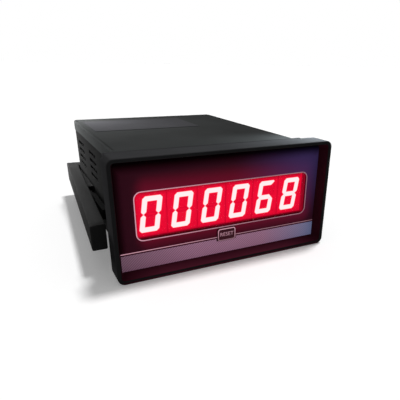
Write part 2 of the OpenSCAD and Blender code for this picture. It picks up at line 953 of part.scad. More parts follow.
module voltage_regulator() {
    body_w = 10.2;
    body_h = 9.2;
    body_t = 4.5;
    tab_t = 1.3;
    tab_h = 15.8;
    leg_h = 4;
    leg_w = 0.8;
    hole_d = 3.6;
    color("#2a2a2c")
        translate([coil_x + core_w / 4, coil_rear + 2 * supply_gap + small_cap_d, board_top])
            difference() {
                union() {
                    block([-body_w / 2, 0, leg_h], [body_w / 2, body_t, leg_h + body_h]);
                    block([-body_w / 2, body_t - tab_t, leg_h], [body_w / 2, body_t, leg_h + tab_h]);
                    for (i = [-1 : 1])
                        translate([i * leg_pitch, body_t / 2, 0])
                            block([-leg_w / 2, -leg_w / 4, 0], [leg_w / 2, leg_w / 4, leg_h + past]);
                }
                rod(0, leg_h + tab_h - hole_d, hole_d, -past, body_t + past);
            }
}

// Terminals

function way_x(i) = (i - (ways - 1) / 2) * way_pitch;

module terminal_block() {
    color("#17181a")
        difference() {
            union() {
                block([-block_w / 2, block_y, board_top], [block_w / 2, plates_y, block_top]);
                for (i = [0 : ways])
                    translate([way_x(i) - way_pitch / 2, 0, 0])
                        block(
                            [-fin_t / 2, plates_y - past, board_top],
                            [fin_t / 2, case_l + fin_proud, block_top]
                        );
            }
            for (i = [0 : ways - 1])
                rod(
                    way_x(i), screw_z, terminal_screw_d + 2 * screw_fit,
                    plates_y - terminal_screw_l + past, plates_y + past
                );
        }
}

// Plates with a tail down to the board
module terminal_plates() {
    tail = 1.4;
    color("#c9a24a")
        for (i = [0 : ways - 1])
            translate([way_x(i), 0, 0])
                difference() {
                    union() {
                        block(
                            [-plate_w / 2, plates_y, screw_z - plate_h / 2],
                            [plate_w / 2, plates_y + plate_t, screw_z + plate_h / 2]
                        );
                        block([-tail / 2, plates_y, board_top], [tail / 2, plates_y + plate_t, screw_z]);
                    }
                    rod(0, screw_z, terminal_screw_d + 2 * fit, plates_y - past, plates_y + plate_t + past);
                }
}

module terminal_washers() {
    washer_y = plates_y + plate_t;
    color("#b9bcc0")
        for (i = [0 : ways - 1])
            translate([way_x(i), 0, screw_z])
                difference() {
                    block(
                        [-washer_w / 2, washer_y, -washer_w / 2],
                        [washer_w / 2, washer_y + washer_t, washer_w / 2]
                    );
                    rod(0, 0, terminal_screw_d + 2 * fit, washer_y - past, washer_y + washer_t + past);
                }
}

module terminal_screws() {
    color("#cfd2d6")
        for (i = [0 : ways - 1])
            translate([way_x(i), plates_y + plate_t + washer_t, screw_z])
                rotate([-90, 0, 0])
                    screw(terminal_screw_d, terminal_screw_l - past, terminal_head_d, terminal_head_h);
}

// Clamps

// Turns a shape by the clamp's toe about the rear corner of the case
module toed() {
    translate([side_x + clamp_gap, case_l, 0])
        rotate([0, 0, clamp_toe])
            children();
}

// The right clamp: a straight bar that toes outwards, with a foot on the side rail and a heel to push
module clamp() {
    bar_l = 2 * case_l;
    z0 = clamp_z - clamp_h / 2;
    z1 = clamp_z + clamp_h / 2;
    foot_wall = 1.6;
    foot_half = rail_head / 2 + run + foot_wall;
    slot_x = rail_x + run;
    difference() {
        union() {
            intersection() {
                toed()
                    block([0, -bar_l, z0], [clamp_w, clamp_tail, z1]);
                block([0, panel_gap, z0 - past], [2 * case_w, 2 * case_l, z1 + past]);
            }
            block(
                [side_x + run, foot_y, clamp_z - foot_half],
                [rail_x + clamp_w / 2, foot_y + foot_l, clamp_z + foot_half]
            );
        }
        // Slot for the rail
        block([0, 0, clamp_z - rail_stem / 2 - run], [slot_x, 2 * case_l, clamp_z + rail_stem / 2 + run]);
        block(
            [side_x + rail_stem_l - run, 0, clamp_z - rail_head / 2 - run],
            [slot_x, 2 * case_l, clamp_z + rail_head / 2 + run]
        );
    }
    toed()
        block([-heel_in, heel_gap, z0], [clamp_w, clamp_tail, z1]);
}

module clamp_left() {
    color("#26282a")
        mirror([1, 0, 0])
            clamp();
}

module clamp_right() {
    color("#26282a")
        clamp();
}

front_bezel();
filter_plate();
front_overlay();
reset_key();
switch_plunger();
key_switch();
display_board();
for (i = [1 : digit_count]) {
    digit_shell(i);
    digit_fill(i);
}
link_header();
case_tray();
top_cover();
top_label();
rear_cover();
cover_screws();
main_board();
board_screws();
microcontroller();
input_coupler();
transformer_core();
transformer_former();
transformer_coil();
large_capacitor();
small_capacitor();
voltage_regulator();
terminal_block();
terminal_plates();
terminal_washers();
terminal_screws();
clamp_left();
clamp_right();
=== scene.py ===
"""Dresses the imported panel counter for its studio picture.

The CAD nodes give the sizes and places. This file rounds the edges of the mouldings, prints the front,
lights the digits, finishes every surface and sets the stage.
"""

import math

import bmesh
import bpy
from bpy.props import FloatProperty, FloatVectorProperty, PointerProperty, StringProperty
from mathutils import Matrix, Vector


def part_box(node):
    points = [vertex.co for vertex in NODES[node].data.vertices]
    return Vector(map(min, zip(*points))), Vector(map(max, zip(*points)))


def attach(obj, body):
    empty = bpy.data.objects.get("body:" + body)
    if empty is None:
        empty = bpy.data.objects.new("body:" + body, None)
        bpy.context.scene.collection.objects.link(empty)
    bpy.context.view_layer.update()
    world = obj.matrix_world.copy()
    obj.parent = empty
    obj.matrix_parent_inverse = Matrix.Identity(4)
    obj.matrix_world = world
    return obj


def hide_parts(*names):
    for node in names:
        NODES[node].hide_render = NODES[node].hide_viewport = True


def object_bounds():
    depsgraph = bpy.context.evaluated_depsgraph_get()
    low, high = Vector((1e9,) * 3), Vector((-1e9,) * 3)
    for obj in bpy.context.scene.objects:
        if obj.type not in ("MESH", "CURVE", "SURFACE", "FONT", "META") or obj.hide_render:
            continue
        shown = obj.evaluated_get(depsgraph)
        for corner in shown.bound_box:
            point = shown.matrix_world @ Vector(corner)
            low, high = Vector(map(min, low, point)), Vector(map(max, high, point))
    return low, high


bl_info = {
    "name": "Panel Counter",
    "version": (1, 0, 0),
    "blender": (4, 5, 0),
    "location": "View3D > Sidebar > Counter",
    "description": "Finishes, lit digits and studio stage for a panel counter",
    "category": "Object",
}

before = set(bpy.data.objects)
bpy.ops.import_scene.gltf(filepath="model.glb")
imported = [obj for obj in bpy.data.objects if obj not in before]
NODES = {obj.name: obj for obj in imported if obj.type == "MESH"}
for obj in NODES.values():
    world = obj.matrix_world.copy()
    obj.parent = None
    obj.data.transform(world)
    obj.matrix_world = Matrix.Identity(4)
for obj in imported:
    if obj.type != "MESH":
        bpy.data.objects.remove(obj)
CAD_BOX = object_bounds()

MM = 0.001
ROOT = "instrument"

# Vertices closer than this are one vertex, and faces that turn less than this are one face
MERGE = 0.001 * MM
FLAT = math.radians(0.5)
# An edge that turns more than SHARP is a moulded edge, and one that turns more than CREASE shades as one
SHARP = math.radians(30)
CREASE = math.radians(40)
# How near a plane an edge has to lie to count as being on it, in millimetres
NEAR = 0.01
# A face whose normal leans less than this towards an axis stands square to it
SQUARE = 0.05
# Turns a shape that lies flat upright, to face the front
UPRIGHT = Matrix.Rotation(math.pi / 2, 4, "X")

# How much a plastic's colour and roughness wander with the flow of the melt, and how many mm apart
MOTTLE = 0.2
WANDER = 0.06
FLOW_MM = 18
BLACK = (0, 0, 0)
WHITE = (1, 1, 1)

# The bars that each figure lights
LIT = {
    "0": "abcdef", "1": "bc", "2": "abdeg", "3": "abcdg", "4": "bcfg",
    "5": "acdfg", "6": "acdefg", "7": "abc", "8": "abcdefg", "9": "abcdfg",
}
DIGITS = 6
WAYS = 8


def linear(code):
    """An sRGB hex colour as linear red, green and blue."""
    parts = [int(code[i:i + 2], 16) / 255 for i in (1, 3, 5)]
    return tuple(c / 12.92 if c <= 0.04045 else ((c + 0.055) / 1.055) ** 2.4 for c in parts)


def tint(label, description, code):
    """A colour that the user can change."""
    return FloatVectorProperty(
        name=label, description=description, subtype="COLOR", size=3, min=0, max=1, default=linear(code)
    )


def length(label, description, mm):
    """A length that the user can change, given in millimetres."""
    return FloatProperty(name=label, description=description, unit="LENGTH", precision=5, default=mm * MM)


class CounterColours(bpy.types.PropertyGroup):
    """Colours of the counter's finishes"""

    case: tint("Cover", "Charcoal ABS of the top cover", "#2e2f2f")
    tray: tint("Tray", "Black ABS of the tray and the rear cover", "#1b1b1b")
    bezel: tint("Bezel", "Black ABS of the bezel", "#252526")
    # Painted red light: the display's light on the bezel's recess walls, in their colour and glow
    recess: tint("Recess", "Bezel's recess walls, which take up the display's red", "#3c1420")
    clamp: tint("Clamps", "Black ABS of the side clamps", "#272727")
    label: tint("Label", "Blank film label on the top cover", "#363638")
    wine: tint("Overlay", "Wine-red print of the front overlay", "#4e1e2e")
    # Painted reflection: the bluish light that the glossy print takes at the upper right
    violet: tint("Overlay, right", "Blue-violet that the print fades to at the upper right", "#5a4684")
    glow: tint("Window glow", "Red light that the film takes from the window", "#8c0a2c")
    line: tint("Printed lines", "Pale ink of the outlines and the lettering", "#e3a5b8")
    # Painted reflection on the silver band: pink on the lit side, blue at the right end
    band_warm: tint("Band, left", "Silver ink of the lower band, on the lit side", "#a0708c")
    band_cool: tint("Band, right", "Silver ink of the lower band, at its right end", "#6f78a0")
    filter: tint("Filter", "Tint of the acrylic filter", "#ffe2e6")
    field: tint("Lit field", "Red light scattered in the filter", "#e80836")
    bar: tint("Lit bars", "Light of the lit bars", "#ffede7")
    key: tint("Reset key", "Wine-red cap of the reset key", "#4a0a20")
    shell: tint("Digit shells", "Red moulded shells of the digits", "#8c1028")
    floor: tint("Floor", "Pale studio floor", "#f2f2f2")


class CounterSizes(bpy.types.PropertyGroup):
    """Sizes of the rounded edges, the print and the figures"""

    reading: StringProperty(name="Reading", description="The six figures that are lit", default="000068")
    bezel_edge: length("Bezel edge", "Radius of the bezel's outer front edge", 0.35)
    rim_edge: length("Rim edge", "Radius of the rim's inner edge", 0.3)
    case_edge: length("Case edge", "Radius of the case's cut edges", 0.25)
    seam_w: length("Seam width", "Width of the sunk seam along each side of the cover's top", 0.6)
    seam_d: length("Seam depth", "Depth of that seam", 0.8)
    seam_end: length("Seam end", "Distance from the seam's ends to the ends of the top", 3.4)
    clamp_edge: length("Clamp edge", "Radius of the clamps' edges", 0.6)
    key_edge: length("Key edge", "Radius of the key's front edge", 0.15)
    key_r: length("Key corner", "Corner radius of the key's cap", 1.2)
    ink: length("Ink", "Thickness of a printed layer", 0.02)
    window_x: length("Window place", "Sideways place of the window's centre", 0.7)
    window_z: length("Window height place", "Height of the window's centre", 0.4)
    window_w: length("Window width", "Width of the window in the overlay", 78)
    window_h: length("Window height", "Height of the window in the overlay", 19)
    window_r: length("Window corner", "Corner radius of the window in the overlay", 2.6)
    outline: length("Outline", "Width of the line round the window", 0.4)
    key_line: length("Key line", "Width of the line round the key's cap", 0.4)
    band_top: length("Band top", "Height of the silver band's upper edge", -14.4)
    band_low: length("Band foot", "Height of the silver band's lower edge", -21)
    band_line: length("Band line", "Width of the line above the band", 0.35)
    band_gap: length("Band gap", "Gap between the band and the line above it", 0.6)
    figure_h: length("Figure height", "Height of a lit figure", 14.2)
    figure_w: length("Figure width", "Width of a lit figure before it is slanted", 7.7)
    bar_w: length("Bar width", "Width of one bar", 1.8)
    bar_gap: length("Bar gap", "Gap between the ends of neighbouring bars", 0.3)
    figure_cut: length("Figure corner", "How far a figure's outer corners are cut off", 0.9)
    slant: FloatProperty(
        name="Slant", description="Lean of the figures", subtype="ANGLE", default=math.radians(9)
    )


def settings():
    """The scene's sizes and colours."""
    scene = bpy.context.scene
    return scene.counter_sizes, scene.counter_colours


# Materials


def add(tree, kind, links=None, **values):
    """Adds a node. Links are its sockets' values or the sockets that feed them, and values its settings."""
    node = tree.nodes.new("ShaderNode" + kind)
    for key, value in values.items():
        setattr(node, key, value)
    for key, value in (links or {}).items():
        socket = node.inputs[key]
        if isinstance(value, bpy.types.NodeSocket):
            tree.links.new(value, socket)
        elif socket.type == "RGBA":
            socket.default_value = (*value, 1)
        else:
            socket.default_value = value
    return node


def shade(colour, amount):
    """A colour made darker or lighter by a factor."""
    return tuple(min(1, c * amount) for c in colour)


def per(mm):
    """The scale at which a noise's features are that many millimetres apart."""
    return 1 / (mm * MM)


def waves(mm):
    """The scale at which a wave's bands are that many millimetres apart."""
    # A wave texture turns through 20 radians in each unit of its scaled coordinates
    unit = 2 * math.pi / 20
    return unit / (mm * MM)


def surface(name, build):
    """A node material. The build function adds its nodes and returns the shader's socket."""
    made = bpy.data.materials.get(name)
    if made:
        return made
    made = bpy.data.materials.new(name)
    made.use_nodes = True
    tree = made.node_tree
    tree.nodes.clear()
    add(tree, "OutputMaterial", {"Surface": build(tree)})
    return made


def past_box(tree, place, centre, half):
    """How far a point lies past the sides of a box, along each axis, and below zero inside it."""
    offset = add(tree, "VectorMath", {0: place, 1: centre}, operation="SUBTRACT").outputs["Vector"]
    offset = add(tree, "VectorMath", {0: offset}, operation="ABSOLUTE").outputs["Vector"]
    return add(tree, "VectorMath", {0: offset, 1: half}, operation="SUBTRACT").outputs["Vector"]


def fill_ramp(ramp, steps):
    """Gives a colour ramp its colours, each with its place from 0 to 1."""
    stops = ramp.color_ramp.elements
    while len(stops) < len(steps):
        stops.new(1)
    for stop, (position, colour) in zip(stops, steps):
        stop.position = position
        stop.color = (*colour, 1)


def painted_recess_light(tree, place, tone, half_w, half_h, mouth_y, floor_y, painted_red):
    """The colour and the painted glow of a moulding whose recess is painted with the display's red light.

    The recess's walls and the rim below it are painted with red light. The lower wall has a painted glow
    towards its mouth, less at its ends, and the rim below it a faint one. The upper face is painted paler,
    as if lit more brightly.
    """
    # How far the painted red takes to come in, where the painted top light does, and how much paler it gets
    blend = 0.3 * MM
    top_light_from, top_light_to = half_h + 0.6 * MM, half_h + 0.9 * MM
    pale = (1.5, 1.5, 1.5)
    # How high the lower wall's painted glow reaches, how far its ends fade, and the rim's share of it
    glow_h, glow_end = 2 * MM, 18 * MM
    faint = 0.3
    sides = add(tree, "VectorMath", {0: place}, operation="ABSOLUTE").outputs["Vector"]
    side_x, _, side_z = add(tree, "SeparateXYZ", {"Vector": sides}).outputs
    _, y, z = add(tree, "SeparateXYZ", {"Vector": place}).outputs

    def inside(*limits):
        """How far a point lies inside limits, each a pair with the larger value first."""
        least = None
        for larger, smaller in limits:
            gap = add(tree, "Math", {0: larger, 1: smaller}, operation="SUBTRACT").outputs["Value"]
            if least is not None:
                gap = add(tree, "Math", {0: least, 1: gap}, operation="MINIMUM").outputs["Value"]
            least = gap
        return least

    depth = inside((half_w, side_x), (half_h, side_z), (floor_y, y), (y, mouth_y))
    below = inside((-half_h, z), (mouth_y, y))
    shares = []
    for value, start, end in (
        (z, top_light_from, top_light_to),
        (depth, 0, blend),
        (below, 0, blend),
        (z, glow_h - half_h, -half_h),
        (side_x, half_w, half_w - glow_end),
    ):
        limits = {"Value": value, "From Min": start, "From Max": end}
        shares.append(add(tree, "MapRange", limits).outputs["Result"])
    top_light_share, walls, rim, low, middle = shares
    # Painted light: the upper face is made paler, as if lit more brightly
    top_lit_tone = add(
        tree, "Mix", {"Factor": top_light_share, "A": tone, "B": pale}, data_type="RGBA", blend_type="MULTIPLY"
    ).outputs["Result"]
    red = add(tree, "Math", {0: walls, 1: rim}, operation="MAXIMUM").outputs["Value"]
    glow = add(tree, "Math", {0: walls, 1: low}, operation="MULTIPLY").outputs["Value"]
    rim_glow = add(tree, "Math", {0: rim, 1: faint}, operation="MULTIPLY").outputs["Value"]
    glow = add(tree, "Math", {0: glow, 1: rim_glow}, operation="MAXIMUM").outputs["Value"]
    glow = add(tree, "Math", {0: glow, 1: middle}, operation="MULTIPLY").outputs["Value"]
    mixes = []
    # Painted red light of the display on the walls and the rim, and its painted glow
    for factor, plain in ((red, top_lit_tone), (glow, BLACK)):
        mix = add(tree, "Mix", {"Factor": factor, "A": plain, "B": painted_red}, data_type="RGBA")
        mixes.append(mix.outputs["Result"])
    return mixes


def moulded(name, colour, rough, grain, depth, shine=0.4, recess=None):
    """A moulded plastic: spark-eroded grain in the surface and a faint flow mottle in the colour.

    A recess in the front, given by its half width, half height, mouth, floor and colour, can have painted red
    light.
    """

    def build(tree):
        place = add(tree, "TexCoord").outputs["Object"]
        speck = add(tree, "TexNoise", {"Vector": place, "Scale": per(grain), "Detail": 2}).outputs["Fac"]
        flow = add(tree, "TexNoise", {"Vector": place, "Scale": per(FLOW_MM), "Detail": 3}).outputs["Fac"]
        dark, light = shade(colour, 1 - MOTTLE), shade(colour, 1 + MOTTLE)
        tone = add(tree, "Mix", {"Factor": flow, "A": dark, "B": light}, data_type="RGBA").outputs["Result"]
        glow = {}
        # A recess is painted with the display's red light, in its colour and as a glow
        if recess:
            tone, red = painted_recess_light(tree, place, tone, *recess)
            glow = {"Emission Color": red, "Emission Strength": 1.0}
        worn = add(tree, "MapRange", {"Value": flow, "To Min": rough - WANDER, "To Max": rough + WANDER})
        bump = add(tree, "Bump", {"Height": speck, "Strength": 0.6, "Distance": depth * MM})
        return add(tree, "BsdfPrincipled", {
            "Base Color": tone,
            "Roughness": worn.outputs["Result"],
            "Specular IOR Level": shine,
            "IOR": 1.54,
            "Normal": bump.outputs["Normal"],
            **glow,
        }).outputs["BSDF"]

    return surface(name, build)


def metal(name, colour, rough, spacing, turn):
    """A drawn, stamped or plated metal: fine lines from the tool and a little cloudiness in the shine."""
    # The clouds are this many mm apart, and change the colour and the roughness between these
    cloud_mm = 1.5
    dark, light = shade(colour, 0.85), shade(colour, 1.1)
    bright, dull = rough - 0.08, rough + 0.08
    line_depth = 0.01 * MM

    def build(tree):
        place = add(tree, "TexCoord").outputs["Object"]
        lines = add(
            tree, "TexWave", {"Vector": place, "Scale": waves(spacing), "Distortion": 1.5, "Detail": 2},
            bands_direction=turn,
        ).outputs["Fac"]
        cloud = add(tree, "TexNoise", {"Vector": place, "Scale": per(cloud_mm), "Detail": 3}).outputs["Fac"]
        tone = add(tree, "Mix", {"Factor": cloud, "A": dark, "B": light}, data_type="RGBA")
        shine = add(tree, "MapRange", {"Value": cloud, "To Min": bright, "To Max": dull})
        bump = add(tree, "Bump", {"Height": lines, "Strength": 0.25, "Distance": line_depth})
        return add(tree, "BsdfPrincipled", {
            "Base Color": tone.outputs["Result"],
            "Metallic": 1.0,
            "Roughness": shine.outputs["Result"],
            "Normal": bump.outputs["Normal"],
        }).outputs["BSDF"]

    return surface(name, build)


def striped(name, dark, light, spacing, turn, metallic, rough):
    """A body built of parallel lines: stacked laminations, a wound coil or circuit tracks."""
    line_depth = 0.05 * MM

    def build(tree):
        place = add(tree, "TexCoord").outputs["Object"]
        lines = add(
            tree, "TexWave", {"Vector": place, "Scale": waves(spacing), "Distortion": 0.4},
            bands_direction=turn,
        ).outputs["Fac"]
        tone = add(tree, "Mix", {"Factor": lines, "A": dark, "B": light}, data_type="RGBA")
        bump = add(tree, "Bump", {"Height": lines, "Strength": 0.5, "Distance": line_depth})
        return add(tree, "BsdfPrincipled", {
            "Base Color": tone.outputs["Result"],
            "Metallic": metallic,
            "Roughness": rough,
            "Normal": bump.outputs["Normal"],
        }).outputs["BSDF"]

    return surface(name, build)


def case_abs():
    """Charcoal ABS moulded in a spark-eroded tool: a dull skin that breaks the light up finely."""
    # The real grain is about 0.1 mm; it is drawn at 0.4 mm to show in the picture
    colour = settings()[1].case
    return moulded("abs_spark_eroded_charcoal", colour, rough=0.5, grain=0.4, depth=0.02, shine=0)


def tray_abs():
    """Black ABS of the tray, from a tool eroded like the cover's: as dull, and darker."""
    colour = settings()[1].tray
    return moulded("abs_spark_eroded_black", colour, rough=0.5, grain=0.4, depth=0.02, shine=0)


def bezel_abs():
    """Black ABS moulded in a finely blasted tool: smoother than the case, with a satin shine."""
    colours = settings()[1]
    low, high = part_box("front_bezel")
    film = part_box("front_overlay")[1]
    # The painted red light starts behind the rim's flat front and its rounded edge
    rim = 1.0 * MM
    edge = 0.3 * MM
    recess = (high.x - rim, high.z - rim, low.y + edge, film.y + edge, colours.recess)
    return moulded(
        "abs_satin_moulded_black", colours.bezel, rough=0.42, grain=0.3, depth=0.006, shine=0, recess=recess
    )


def clamp_abs():
    """Black ABS of the clamps, moulded plain: worn a little shiny by sliding."""
    colour = settings()[1].clamp
    return moulded("abs_plain_moulded_black", colour, rough=0.5, grain=0.5, depth=0.012, shine=0)


def overlay_film():
    """Polycarbonate film printed from behind: smooth wine red, with painted window glow, reflection and
    shade.
    """
    sizes, colours = settings()
    low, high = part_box("front_overlay")
    # Over these places a painted blue-violet reflection comes over the print, and painted shade of the rim
    # darkens it near the film's top and left edges
    fade_x, fade_z = (0, 43 * MM), (-16 * MM, 16 * MM)
    top_edge, left_edge = 5 * MM, 3 * MM
    top_shade, left_shade = 0.05, 0.3
    # The box over which the window's painted glow is full, and how far it reaches past it
    lit_centre = (sizes.window_x + 1.7 * MM, 0, sizes.window_z + 0.8 * MM)
    lit_half = (sizes.window_w / 2 - 3.4 * MM, 1, sizes.window_h / 2)
    reach = 7 * MM
    # The share of the painted glow that is left where the painted blue-violet reflection is
    violet_share = 0.2
    # The fine texture that keeps the film from glaring
    grain_mm, grain_depth = 0.3, 0.003 * MM

    def build(tree):
        place = add(tree, "TexCoord").outputs["Object"]
        x, _, z = add(tree, "SeparateXYZ", {"Vector": place}).outputs
        fades = []
        for value, start, end, least in (
            (x, *fade_x, 0),
            (z, *fade_z, 0),
            (z, high.z, high.z - top_edge, top_shade),
            (x, low.x, low.x + left_edge, left_shade),
        ):
            limits = {"Value": value, "From Min": start, "From Max": end, "To Min": least}
            fade = add(tree, "MapRange", limits, interpolation_type="SMOOTHSTEP")
            fades.append(fade.outputs["Result"])
        across, up, top, left = fades
        # Painted reflection: blue-violet towards the upper right
        corner = add(tree, "Math", {0: across, 1: up}, operation="MULTIPLY").outputs["Value"]
        # Painted shade under the bezel's rim, along the film's top and left edges
        rim_shade = add(tree, "Math", {0: top, 1: left}, operation="MINIMUM").outputs["Value"]
        inks = {"Factor": corner, "A": colours.wine, "B": colours.violet}
        ink = add(tree, "Mix", inks, data_type="RGBA").outputs["Result"]
        ink = add(tree, "Mix", {"Factor": rim_shade, "A": BLACK, "B": ink}, data_type="RGBA").outputs["Result"]
        past = past_box(tree, place, lit_centre, lit_half)
        past = add(tree, "VectorMath", {0: past, 1: (0, 0, 0)}, operation="MAXIMUM").outputs["Vector"]
        away = add(tree, "VectorMath", {0: past}, operation="LENGTH").outputs["Value"]
        level = add(
            tree, "MapRange", {"Value": away, "From Max": reach, "To Min": 1, "To Max": 0},
            interpolation_type="SMOOTHSTEP",
        ).outputs["Result"]
        through = add(tree, "MapRange", {"Value": corner, "To Min": 1, "To Max": violet_share})
        for factor in (rim_shade, through.outputs["Result"]):
            level = add(tree, "Math", {0: level, 1: factor}, operation="MULTIPLY").outputs["Value"]
        # Painted glow: the window's light spilling onto the film
        light = add(tree, "Mix", {"Factor": level, "A": BLACK, "B": colours.glow}, data_type="RGBA")
        grain = add(tree, "TexNoise", {"Vector": place, "Scale": per(grain_mm), "Detail": 1}).outputs["Fac"]
        bump = add(tree, "Bump", {"Height": grain, "Strength": 0.3, "Distance": grain_depth})
        return add(tree, "BsdfPrincipled", {
            "Base Color": ink,
            "Roughness": 0.32,
            "Specular IOR Level": 0.0,
            "IOR": 1.58,
            "Emission Color": light.outputs["Result"],
            "Emission Strength": 0.31,
            "Normal": bump.outputs["Normal"],
        }).outputs["BSDF"]

    return surface("polycarbonate_film_reverse_printed", build)


def line_ink(name, axis, start, end, strong, weak, base=1):
    """Pale screen-printed ink: a thin matt layer with a painted glow of the display's light.

    The share of that painted glow goes from strong at the start to weak at the end along an axis.
    """
    colour = settings()[1].line
    # The weave of the printing screen leaves the ink thinner every 0.5 mm
    weave_mm = 0.5
    thin, full = shade(colour, 0.75 * base), shade(colour, base)

    def build(tree):
        place = add(tree, "TexCoord").outputs["Object"]
        along = add(tree, "SeparateXYZ", {"Vector": place}).outputs[axis]
        weave = add(tree, "TexNoise", {"Vector": place, "Scale": per(weave_mm), "Detail": 2}).outputs["Fac"]
        ink = add(tree, "Mix", {"Factor": weave, "A": thin, "B": full}, data_type="RGBA")
        limits = {"Value": along, "From Min": start, "From Max": end, "To Min": strong, "To Max": weak}
        share = add(tree, "MapRange", limits).outputs["Result"]
        # Painted light: the ink glows by this share of its colour
        light = add(tree, "Mix", {"Factor": share, "A": BLACK, "B": colour}, data_type="RGBA")
        return add(tree, "BsdfPrincipled", {
            "Base Color": ink.outputs["Result"],
            "Roughness": 0.5,
            "Emission Color": light.outputs["Result"],
            "Emission Strength": 0.6,
        }).outputs["BSDF"]

    return surface(name, build)


def band_ink():
    """Silver screen ink laid as a fine slanting hatch: it looks brushed, with a painted pink-to-blue
    reflection.
    """
    warm, cool = settings()[1].band_warm, settings()[1].band_cool
    # Between these places the painted reflection goes from pink darkened with painted shade, over pink, to
    # blue
    left, right = -46 * MM, 45 * MM
    steps = ((0, shade(warm, 0.5)), (0.35, warm), (0.7, warm), (1, cool))
    # The hatch is 0.8 mm from line to line and falls to the right
    hatch_mm, hatch_turn = 0.8, math.radians(-48)
    hatch_ink, hatch_share = linear("#553c52"), 0.6

    def build(tree):
        place = add(tree, "TexCoord").outputs["Object"]
        x = add(tree, "SeparateXYZ", {"Vector": place}).outputs["X"]
        across = add(tree, "MapRange", {"Value": x, "From Min": left, "From Max": right}).outputs["Result"]
        ramp = add(tree, "ValToRGB", {"Fac": across})
        fill_ramp(ramp, steps)
        silver = ramp.outputs["Color"]
        turned = add(tree, "Mapping", {"Vector": place, "Rotation": (0, hatch_turn, 0)}).outputs["Vector"]
        hatch = add(
            tree, "TexWave", {"Vector": turned, "Scale": waves(hatch_mm), "Distortion": 0.6},
            bands_direction="X",
        ).outputs["Fac"]
        inks = {"Factor": hatch, "A": silver, "B": hatch_ink}
        drawn = add(tree, "Mix", inks, data_type="RGBA", blend_type="MULTIPLY").outputs["Result"]
        ink = add(tree, "Mix", {"Factor": hatch_share, "A": silver, "B": drawn}, data_type="RGBA")
        return add(tree, "BsdfPrincipled", {
            "Base Color": ink.outputs["Result"],
            "Roughness": 0.45,
            # Painted glow: the band shines with its own colour
            "Emission Color": ink.outputs["Result"],
            "Emission Strength": 0.5,
        }).outputs["BSDF"]

    return surface("screen_ink_silver_hatched", build)


def filter_acrylic():
    """Clear cast acrylic filter with a rose tint and a painted red glow of the bars' scattered light."""
    sizes, colours = settings()
    centre = (sizes.window_x, 0, sizes.window_z)
    half = (sizes.window_w / 2, 1, sizes.window_h / 2)
    # The painted glow falls off from just inside the window's edge to just past it,
    # as painted shade along the edge
    fall_inside, fall_past = 1.2 * MM, 0.2 * MM
    # Over the digits the filter adds a share of its painted glow to theirs,
    # and past the last one it glows by itself
    digits_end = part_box(f"digit_shell_{DIGITS}")[1].x - 1 * MM
    digits_blend = 2 * MM
    digits_share = 0.4
    # The cast sheet is a little uneven
    cloud_mm = 9
    cloud_low, cloud_high = 0.86, 1.1

    def build(tree):
        place = add(tree, "TexCoord").outputs["Object"]
        x = add(tree, "SeparateXYZ", {"Vector": place}).outputs["X"]
        past = past_box(tree, place, centre, half)
        past_x, _, past_z = add(tree, "SeparateXYZ", {"Vector": past}).outputs
        past = add(tree, "Math", {0: past_x, 1: past_z}, operation="MAXIMUM").outputs["Value"]
        level = add(
            tree, "MapRange", {"Value": past, "From Min": fall_past, "From Max": -fall_inside},
            interpolation_type="SMOOTHSTEP",
        ).outputs["Result"]
        cloud = add(tree, "TexNoise", {"Vector": place, "Scale": per(cloud_mm), "Detail": 2}).outputs["Fac"]
        uneven = add(tree, "MapRange", {"Value": cloud, "To Min": cloud_low, "To Max": cloud_high})
        limits = {"Value": x, "From Min": digits_end, "From Max": digits_end + digits_blend}
        alone = add(tree, "MapRange", {**limits, "To Min": digits_share, "To Max": 1})
        for factor in (uneven, alone):
            levels = {0: level, 1: factor.outputs["Result"]}
            level = add(tree, "Math", levels, operation="MULTIPLY").outputs["Value"]
        light = add(tree, "Mix", {"Factor": level, "A": BLACK, "B": colours.field}, data_type="RGBA")
        return add(tree, "BsdfPrincipled", {
            "Base Color": colours.filter,
            "Roughness": 0.04,
            # The face is coated against glare, so it hardly reflects
            "IOR": 1.03,
            "Transmission Weight": 1.0,
            "Emission Color": light.outputs["Result"],
            "Emission Strength": 0.52,
        }).outputs["BSDF"]

    return surface("acrylic_cast_red_filter", build)


def lit_plastic(name, base, rough):
    """Digit module plastic with a painted glow: white at a lit bar, pink at its edge, deep red further off.
    """
    sizes, colours = settings()
    # How far the painted glow changes from a bar's edge, and its colours over that reach
    reach = 4 * MM
    pink, red = linear("#da6c7e"), shade(colours.field, 0.22)
    steps = ((0.005, colours.bar), (0.03, pink), (0.07, red), (1, shade(red, 0.65)))
    # Painted shade: the modules' upper and lower edges glow less, where the window's edges shade them
    middle, edge = sizes.window_z - 0.7 * MM, sizes.window_h / 2 - 0.6 * MM
    edge_blend = 1.2 * MM
    edge_red = shade(red, 0.3)

    def build(tree):
        away = add(tree, "Attribute", attribute_name="from_bar").outputs["Fac"]
        spread = add(tree, "MapRange", {"Value": away, "From Max": reach}).outputs["Result"]
        ramp = add(tree, "ValToRGB", {"Fac": spread})
        fill_ramp(ramp, steps)
        place = add(tree, "TexCoord").outputs["Object"]
        height = add(tree, "SeparateXYZ", {"Vector": place}).outputs["Z"]
        height = add(tree, "Math", {0: height, 1: middle}, operation="SUBTRACT").outputs["Value"]
        height = add(tree, "Math", {0: height}, operation="ABSOLUTE").outputs["Value"]
        limits = {"Value": height, "From Min": edge, "From Max": edge - edge_blend}
        inner = add(tree, "MapRange", limits).outputs["Result"]
        lights = {"Factor": inner, "A": edge_red, "B": ramp.outputs["Color"]}
        light = add(tree, "Mix", lights, data_type="RGBA")
        return add(tree, "BsdfPrincipled", {
            "Base Color": base,
            "Roughness": rough,
            "Specular IOR Level": 0.0,
            "Emission Color": light.outputs["Result"],
            "Emission Strength": 1.35,
        }).outputs["BSDF"]

    return surface(name, build)


